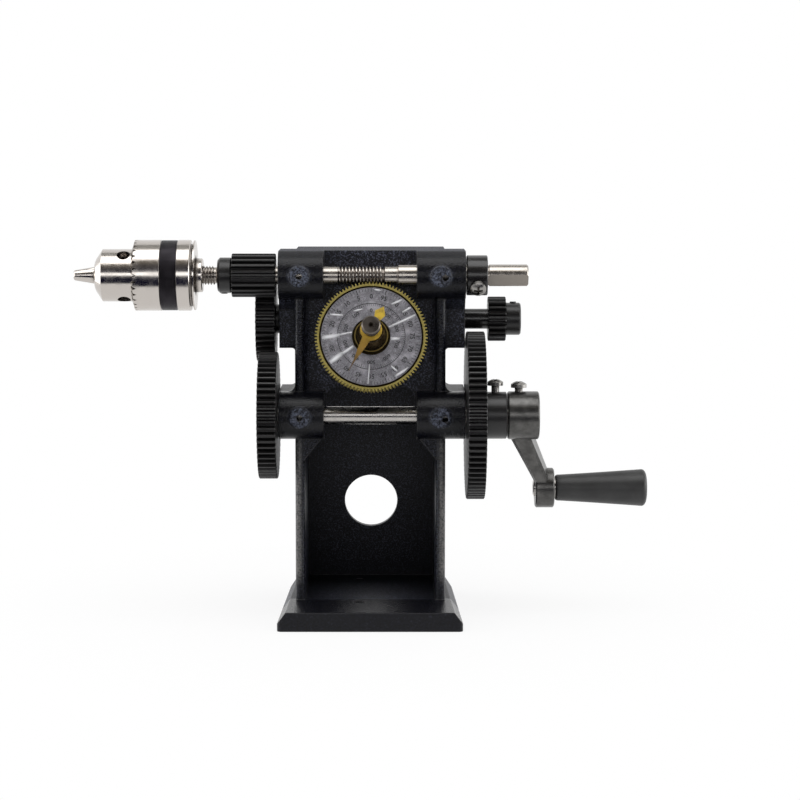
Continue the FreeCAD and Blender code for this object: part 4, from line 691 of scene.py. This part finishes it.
# %% Give each node its finish
DRESS = {
    paint: ["main_frame"],
    black_iron: ["slow_drive_gear", "layshaft_gear", "spindle_pinion", "layshaft_pinion"],
    gear_iron: ["fast_drive_gear"],
    grey_iron: ["crank_arm"],
    black_steel: ["spindle_collar", "chuck_ring_nut", "spindle_grub_screw", "layshaft_grub_screw",
                  "layshaft_gear_pin", "slow_gear_pin", "post_nut", "layshaft"],
    shaft_steel: ["crankshaft", "handle_pin", "handle_washer"],
    spindle_steel: ["spindle_shaft"],
    nickel: ["chuck_body", "chuck_sleeve", "chuck_jaw_1", "chuck_jaw_2", "chuck_jaw_3"],
    dull_nickel: ["gear_hub_screw", "crank_screw", "collar_screw"],
    brass: ["count_wheel", "pointer_wheel"],
    dark_brass: ["sleeve_clip", "pointer_collar", "pointer_sleeve"],
    post_steel: ["dial_post", "wave_washer"],
    sheet: ["dial_plate"],
    yellow: ["pointer"],
}
for finish, names in DRESS.items():
    for name in names:
        nodes[name].data.materials.clear()
        nodes[name].data.materials.append(finish)
print("dressed", sum(len(names) for names in DRESS.values()), "of", len(nodes), "nodes")

# %% [markdown]
# ## The grip
# A moulded grip has no hard corners: its end is a soft dome with a pocket for the pin's head. The
# outline is a list of (x, radius) points, rounded by sampling a smooth curve, and turned about the
# grip's axis. It stands for the plain cone of the frame.

# %% Turn the grip
def dome(x_start, r_start, depth, drop, count=14):
    """Quarter ellipse from (x, r) to (x + depth, r - drop): x = depth sin a, r = drop cos a."""
    a = np.linspace(0.0, np.pi / 2, count)
    return np.stack([x_start + depth * np.sin(a), r_start - drop + drop * np.cos(a)], axis=-1)


grip_low, grip_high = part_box("handle_grip")
x0, x1 = grip_low[0], grip_high[0]
shank = np.linspace(0.0, 1.0, 24)
small, large = 8.1 * MM, 11.5 * MM
body_line = np.stack([x0 + 0.0012 + shank * (x1 - x0 - 0.0042),
                      small + (large - small) * shank ** 1.1], axis=-1)
front = np.array([[x0, 0.0041], [x0, small - 0.0013], [x0 + 0.0003, small - 0.0005]])
end = dome(body_line[-1, 0] + 0.00005, large, 0.0029, 0.0046)
pocket = np.array([[x1 - 0.0001, 0.0065], [x1 - 0.0004, 0.0064], [x1 - 0.005, 0.0064],
                   [x1 - 0.005, 0.0041]])
outline = np.concatenate([front, body_line, end, pocket])
grip_mesh = grid_mesh("moulded_grip", turned(outline, GRIP_AXIS)[::-1], close_columns=True)
add_piece(grip_mesh, "grip", grip_plastic(), ["handle_grip"])

# %% [markdown]
# ## The chuck's knurled band
# The sleeve of the chuck has a blackened band, pressed with a diamond pattern so that fingers can
# turn it. Two families of slanted ridges cross there: the height is the larger of two cosines, one
# for each slant.

# %% Press the band
knurl_black = dark_iron("blackened_knurl", (0.022, 0.020, 0.023), (0.05, 0.046, 0.05), 0.20,
                        2600.0, 0.03, metallic=1.0)
band_x = np.linspace(-126.45, -116.65, 64) * MM
around = 760
angle = np.linspace(0.0, 2.0 * np.pi, around, endpoint=False)
teeth, twist = 84, 1.0 / (0.9 * MM)
phase = (band_x[:, None] - band_x[0]) * twist * np.pi
ridge = np.maximum(np.cos(teeth * angle[None, :] + phase), np.cos(teeth * angle[None, :] - phase))
fade = np.clip(np.minimum(band_x - band_x[0], band_x[-1] - band_x) / (0.5 * MM), 0, 1)[:, None]
radius = (21.06 + 0.22 * (0.5 + 0.5 * ridge) * fade) * MM
band_points = np.stack([np.repeat(band_x[:, None], around, 1),
                        SPINDLE.y + radius * np.cos(angle), SPINDLE.z + radius * np.sin(angle)], -1)
band_mesh = grid_mesh("knurled_band", band_points[::-1], close_columns=True)
add_piece(band_mesh, "sleeve", knurl_black)

# %% [markdown]
# ## Printing on the dial
# The dial counts with two scales: a hundred fine marks near the rim and a second ring of marks
# inside a thin circle. Printed marks are thin dark quads lying just above the sheet. A mark is four
# points, so all the marks of a ring are one array.

# %% Marks and circle
ink = plain_finish("black_print", (0.012, 0.012, 0.014), 0.5)


PRINT_LIFT = 0.03 * MM
FIGURE_LIFT = 0.035 * MM
RIM, CIRCLE_IN, CIRCLE_OUT = 29.9 * MM, 20.25 * MM, 20.70 * MM


def ring_of_marks(count, inner, outer, width, height=PRINT_LIFT, keep=None):
    """Quads along rays at count equal angles: corners at radius inner and outer, +-width / 2."""
    turn = np.arange(count) * 2.0 * np.pi / count
    if keep is not None:
        turn = turn[keep]
    ray = np.stack([np.cos(turn), np.sin(turn)], -1)
    side = np.stack([-np.sin(turn), np.cos(turn)], -1) * width / 2
    corners = np.stack([ray * inner - side, ray * outer - side, ray * outer + side,
                        ray * inner + side], axis=1)
    return on_dial(corners, np.full(corners.shape[:2], height))


def quads_mesh(name, blocks):
    points = np.concatenate([b.reshape(-1, 4, 3) for b in blocks])
    mesh = bpy.data.meshes.new(name)
    faces = np.arange(len(points) * 4).reshape(-1, 4)
    mesh.from_pydata(points.reshape(-1, 3).tolist(), [], faces.tolist())
    mesh.update()
    return mesh


hundred = np.arange(100)
blocks = [ring_of_marks(100, 0.0281, RIM, 0.00030, keep=hundred % 5 != 0),
          ring_of_marks(100, 0.0275, RIM, 0.00038, keep=hundred % 10 == 5),
          ring_of_marks(100, 0.0269, RIM, 0.00050, keep=hundred % 10 == 0),
          ring_of_marks(100, 0.0189, 0.0203, 0.00022, keep=hundred % 10 != 0),
          ring_of_marks(100, 0.0181, 0.0203, 0.00032, keep=hundred % 10 == 0)]
circle = np.linspace(0, 2 * np.pi, 145)
edge_in = np.stack([np.cos(circle), np.sin(circle)], -1) * CIRCLE_IN
edge_out = edge_in * (CIRCLE_OUT / CIRCLE_IN)
arcs = np.stack([edge_in[:-1], edge_out[:-1], edge_out[1:], edge_in[1:]], axis=1)
blocks.append(on_dial(arcs, np.full(arcs.shape[:2], PRINT_LIFT)))
marks_mesh = quads_mesh("dial_marks", blocks)
add_piece(marks_mesh, "dial", ink)

# %% [markdown]
# The numbers are plain figures, from nought to ninety-five on the outer scale and from nought to
# nine hundred on the inner one. Blender's text objects give their outlines; each is turned into a
# mesh, laid on the dial with its foot towards the middle, and joined to the others.

# %% Numbers
def figure_mesh(text, size):
    """Flat mesh of a word in Blender's own letters, centred on its own origin."""
    curve = bpy.data.curves.new("figure", "FONT")
    curve.body = text
    curve.size = size
    curve.align_x = "CENTER"
    curve.align_y = "CENTER"
    curve.resolution_u = 2
    curve.offset = size * 0.03
    word = bpy.data.objects.new("figure", curve)
    mesh = bpy.data.meshes.new_from_object(word)
    bpy.data.objects.remove(word)
    bpy.data.curves.remove(curve)
    return mesh


def numbers_ring(labels, radius, size, start, step):
    """All labels of one ring: each is moved out by radius along up, then turned about the dial."""
    points, faces, first = [], [], 0
    for k, label in enumerate(labels):
        mesh = figure_mesh(label, size)
        flat = np.empty(len(mesh.vertices) * 3)
        mesh.vertices.foreach_get("co", flat)
        flat = flat.reshape(-1, 3)[:, :2] + (0.0, radius)
        turn = math.radians(start + step * k)
        c, s = math.cos(turn), math.sin(turn)
        points.append(flat @ np.array([[c, s], [-s, c]]))
        faces += [[v + first for v in p.vertices] for p in mesh.polygons]
        first += len(flat)
        bpy.data.meshes.remove(mesh)
    return np.concatenate(points), faces


outer, outer_faces = numbers_ring([str(n) for n in range(0, 100, 5)], 0.0247, 0.0040, 0.0, 18.0)
inner, inner_faces = numbers_ring([str(n) for n in range(0, 1000, 100)], 0.0160, 0.0033, 0.0, 36.0)
flat = np.concatenate([outer, inner])
placed = on_dial(flat, np.full(len(flat), FIGURE_LIFT))
numbers_mesh = bpy.data.meshes.new("dial_numbers")
numbers_mesh.from_pydata(placed.tolist(), [],
                         outer_faces + [[v + len(outer) for v in f] for f in inner_faces])
numbers_mesh.update()
add_piece(numbers_mesh, "dial", ink)

# %% [markdown]
# ## The creased film
# The film is a ring from the dial's window to just short of its rim. A crease is a ridge along a
# line: its height falls off as a bell curve with the distance from the line. Each crease also
# writes into the `crease` attribute, which the film's finish reads to turn white there: whitened
# film and a painted highlight along the fold.

# %% Stretch the film
CREASE_HEIGHT = 0.35 * MM
FILM_LIFT = 0.12 * MM
film_radius = np.linspace(11.9, 29.7, 90) * MM
film_turn = np.linspace(0.0, 2.0 * np.pi, 480, endpoint=False)
rr, tt = np.meshgrid(film_radius, film_turn, indexing="ij")
u, v = rr * np.cos(tt), rr * np.sin(tt)
height = np.zeros_like(u)
fold_white_and_highlight = np.zeros_like(u)
CREASES = [  # start (right, up), end (right, up), half width, all in millimetres
    ((-29.5, -1.0), (-20.0, 0.5), 1.15), ((-19.5, 0.8), (-10.5, 2.5), 0.45),
    ((10.5, 5.5), (27.5, 13.5), 0.62), ((19.0, 15.0), (25.0, 18.5), 0.55),
    ((11.8, -1.8), (16.5, -1.6), 0.85), ((-25.0, -16.5), (-18.0, -11.0), 1.3),
    ((-17.0, -10.5), (-11.0, -6.5), 0.8), ((15.0, -24.5), (22.0, -20.0), 0.8),
    ((-24.5, 13.5), (-17.5, 13.0), 0.55), ((2.0, 29.0), (5.5, 28.5), 0.5),
    ((12.5, 20.0), (18.5, 22.5), 0.6), ((-10.5, 15.6), (-5.5, 16.8), 0.4),
    ((-2.0, -30.0), (-1.0, -17.5), 0.35), ((12.0, -18.5), (15.5, -21.5), 0.5),
]
for (ax, ay), (bx, by), half in CREASES:
    a, b = np.array([ax, ay]) * MM, np.array([bx, by]) * MM
    run = b - a
    along = ((u - a[0]) * run[0] + (v - a[1]) * run[1]) / (run @ run)
    near = np.clip(along, 0.0, 1.0)
    away_2 = (u - a[0] - near * run[0]) ** 2 + (v - a[1] - near * run[1]) ** 2
    bell = np.exp(-away_2 / (half * MM) ** 2)
    height += CREASE_HEIGHT * bell
    fold_white_and_highlight = np.maximum(fold_white_and_highlight, bell * (0.55 + 0.45 * np.sin(np.clip(along, 0, 1) * np.pi)))
ripple = 0.05 * np.sin(23 * tt + 9 * rr / film_radius[-1]) * np.sin(np.pi * rr / film_radius[-1] * 5)
film_points = on_dial(np.stack([u, v], -1), FILM_LIFT + height + np.abs(ripple) * MM)
film_mesh = grid_mesh("dial_film", film_points, close_columns=True)
crease = film_mesh.attributes.new("crease", "FLOAT", "POINT")
crease.data.foreach_set("value", np.clip(fold_white_and_highlight, 0, 1).reshape(-1).astype(np.float32))
add_piece(film_mesh, "dial", clear_film())
print("creases:", len(CREASES))

# %% [markdown]
# ## The table, the backdrop and the light
# The machine stands on a white table in a white tent. A polished cylinder mirrors the whole tent as
# a stack of bands, so the tent is built as a stack too: under the spindle's line of sight a dark
# card hides the room, above it another does, and between them a strip of light shows as the bright
# line along every shaft. The height of each card follows from one rule: a cylinder turned by an
# angle mirrors what lies twice as far round. The table's glow is full white away from the machine
# and lets a little of the shadow through beside it.

# %% Cards, table and world
def stage_sheet(name, corners, material, seen=True):
    mesh = bpy.data.meshes.new(name)
    mesh.from_pydata(corners, [], [[0, 1, 2, 3]])
    mesh.materials.append(material)
    sheet_object = bpy.data.objects.new(name, mesh)
    sheet_object.visible_camera = seen
    bpy.context.scene.collection.objects.link(sheet_object)


def white_table():
    """White to the camera and to metal, except that near the machine some shadow shows."""
    f = Finish("white_table", Roughness=0.9)
    f.shader.inputs["Base Color"].default_value = (0.86, 0.86, 0.87, 1.0)
    f.shader.inputs["Specular IOR Level"].default_value = 0.1
    glow = f.node("ShaderNodeEmission", Strength=1.0)
    glow.inputs["Color"].default_value = (1.0, 1.0, 1.0, 1.0)
    path = f.node("ShaderNodeLightPath")
    reach = f.node("ShaderNodeVectorMath", {"operation": "LENGTH"})
    f.join(f.object_place(), reach.inputs[0])
    far = f.rescale(reach.outputs["Value"], 0.08, 0.28, 0.86, 1.0)
    seen = f.sum_up("MULTIPLY", path.outputs["Is Camera Ray"], far)
    share = f.sum_up("MAXIMUM", seen, path.outputs["Is Glossy Ray"])
    blend = f.node("ShaderNodeMixShader")
    f.join(share, blend.inputs[0])
    f.join(f.shader.outputs[0], blend.inputs[1])
    f.join(glow.outputs[0], blend.inputs[2])
    f.join(blend.outputs[0], f.tree.nodes["Material Output"].inputs["Surface"])
    return f.material


def shaded_card(name, low, high, stops):
    """Card whose glow runs through the stops from its lower edge to its upper one."""
    f = Finish(name)
    apart = f.node("ShaderNodeSeparateXYZ")
    f.join(f.object_place(), apart.inputs[0])
    glow = f.node("ShaderNodeEmission", Strength=1.0)
    f.join(f.ramp(f.rescale(apart.outputs["Z"], low, high, 0.0, 1.0), stops), glow.inputs["Color"])
    f.join(glow.outputs[0], f.tree.nodes["Material Output"].inputs["Surface"])
    return f.material


TABLE_EDGE, CARD_Y, CARD_HALF = -0.352, -1.8, 2.5
TABLE_HALF, TABLE_BACK, CARD_TOP = 3, 3.5, 1.5
stage_sheet("table", [(-TABLE_HALF, TABLE_EDGE, 0), (TABLE_HALF, TABLE_EDGE, 0),
                      (TABLE_HALF, TABLE_BACK, 0), (-TABLE_HALF, TABLE_BACK, 0)], white_table())
for name, low, high, stops in (
        ("card_below", -1.3, 0.243, [(0.0, (0.004, 0.004, 0.022)), (1.0, (0.004, 0.004, 0.022))]),
        ("card_above", 0.62, 2.79, [(0.0, (0.02, 0.02, 0.04)), (0.35, (0.07, 0.065, 0.065)),
                                    (0.7, (0.20, 0.18, 0.15)), (1.0, (0.45, 0.40, 0.34))])):
    stage_sheet(name, [(-CARD_HALF, CARD_Y, low), (CARD_HALF, CARD_Y, low),
                       (CARD_HALF, CARD_Y, high), (-CARD_HALF, CARD_Y, high)],
                shaded_card(name, low, high, stops), seen=False)
grey_card = plain_finish("grey_card", (0.60, 0.60, 0.57), 0.9)
stage_sheet("card_overhead", [(-CARD_HALF, 0.06, CARD_TOP), (CARD_HALF, 0.06, CARD_TOP),
                              (CARD_HALF, 0.72, CARD_TOP), (-CARD_HALF, 0.72, CARD_TOP)],
            grey_card, seen=False)

world = bpy.data.worlds.new("white_tent")
world.use_nodes = True
bpy.context.scene.world = world
tree = world.node_tree
background = tree.nodes["Background"]
background.inputs["Color"].default_value = (1.0, 1.0, 1.0, 1.0)
path = tree.nodes.new("ShaderNodeLightPath")
camera_or_glossy = tree.nodes.new("ShaderNodeMath")
camera_or_glossy.operation = "MAXIMUM"
any_sharp = tree.nodes.new("ShaderNodeMath")
any_sharp.operation = "MAXIMUM"
strength = tree.nodes.new("ShaderNodeMapRange")
FILL_STRENGTH, WHITE_STRENGTH = 0.55, 1.0
strength.inputs["To Min"].default_value = FILL_STRENGTH
strength.inputs["To Max"].default_value = WHITE_STRENGTH
for source, target in ((path.outputs["Is Camera Ray"], camera_or_glossy.inputs[0]),
                       (path.outputs["Is Glossy Ray"], camera_or_glossy.inputs[1]),
                       (camera_or_glossy.outputs[0], any_sharp.inputs[0]),
                       (path.outputs["Is Transmission Ray"], any_sharp.inputs[1]),
                       (any_sharp.outputs[0], strength.inputs["Value"]),
                       (strength.outputs["Result"], background.inputs["Strength"])):
    tree.links.new(source, target)
print("stage sheets and a white world are set")


# %% Lamps
def soft_lamp(name, place, target, width, height, power):
    data = bpy.data.lights.new(name, "AREA")
    data.shape = "RECTANGLE"
    data.size, data.size_y = width, height
    data.energy = power
    lamp = bpy.data.objects.new(name, data)
    lamp.location = place
    lamp.rotation_euler = (Vector(target) - Vector(place)).to_track_quat("-Z", "Y").to_euler()
    bpy.context.scene.collection.objects.link(lamp)


soft_lamp("overhead", (0.0, -0.35, 1.25), (0.0, -0.35, 0.12), 2.4, 0.78, 12.0)
soft_lamp("front_strip", (0.0, -1.75, 0.44), (0.0, -0.03, 0.20), 3.0, 0.32, 4.5)
soft_lamp("left_strip", (-1.1, 0.0, 0.28), (0.0, 0.0, 0.16), 1.3, 0.56, 7.0)
soft_lamp("right_strip", (1.1, 0.0, 0.28), (0.0, 0.0, 0.16), 1.3, 0.56, 5.0)
print("lamps:", len(bpy.data.lights))

# %% [markdown]
# ## Done

# %% Finish
print("the machine is dressed")
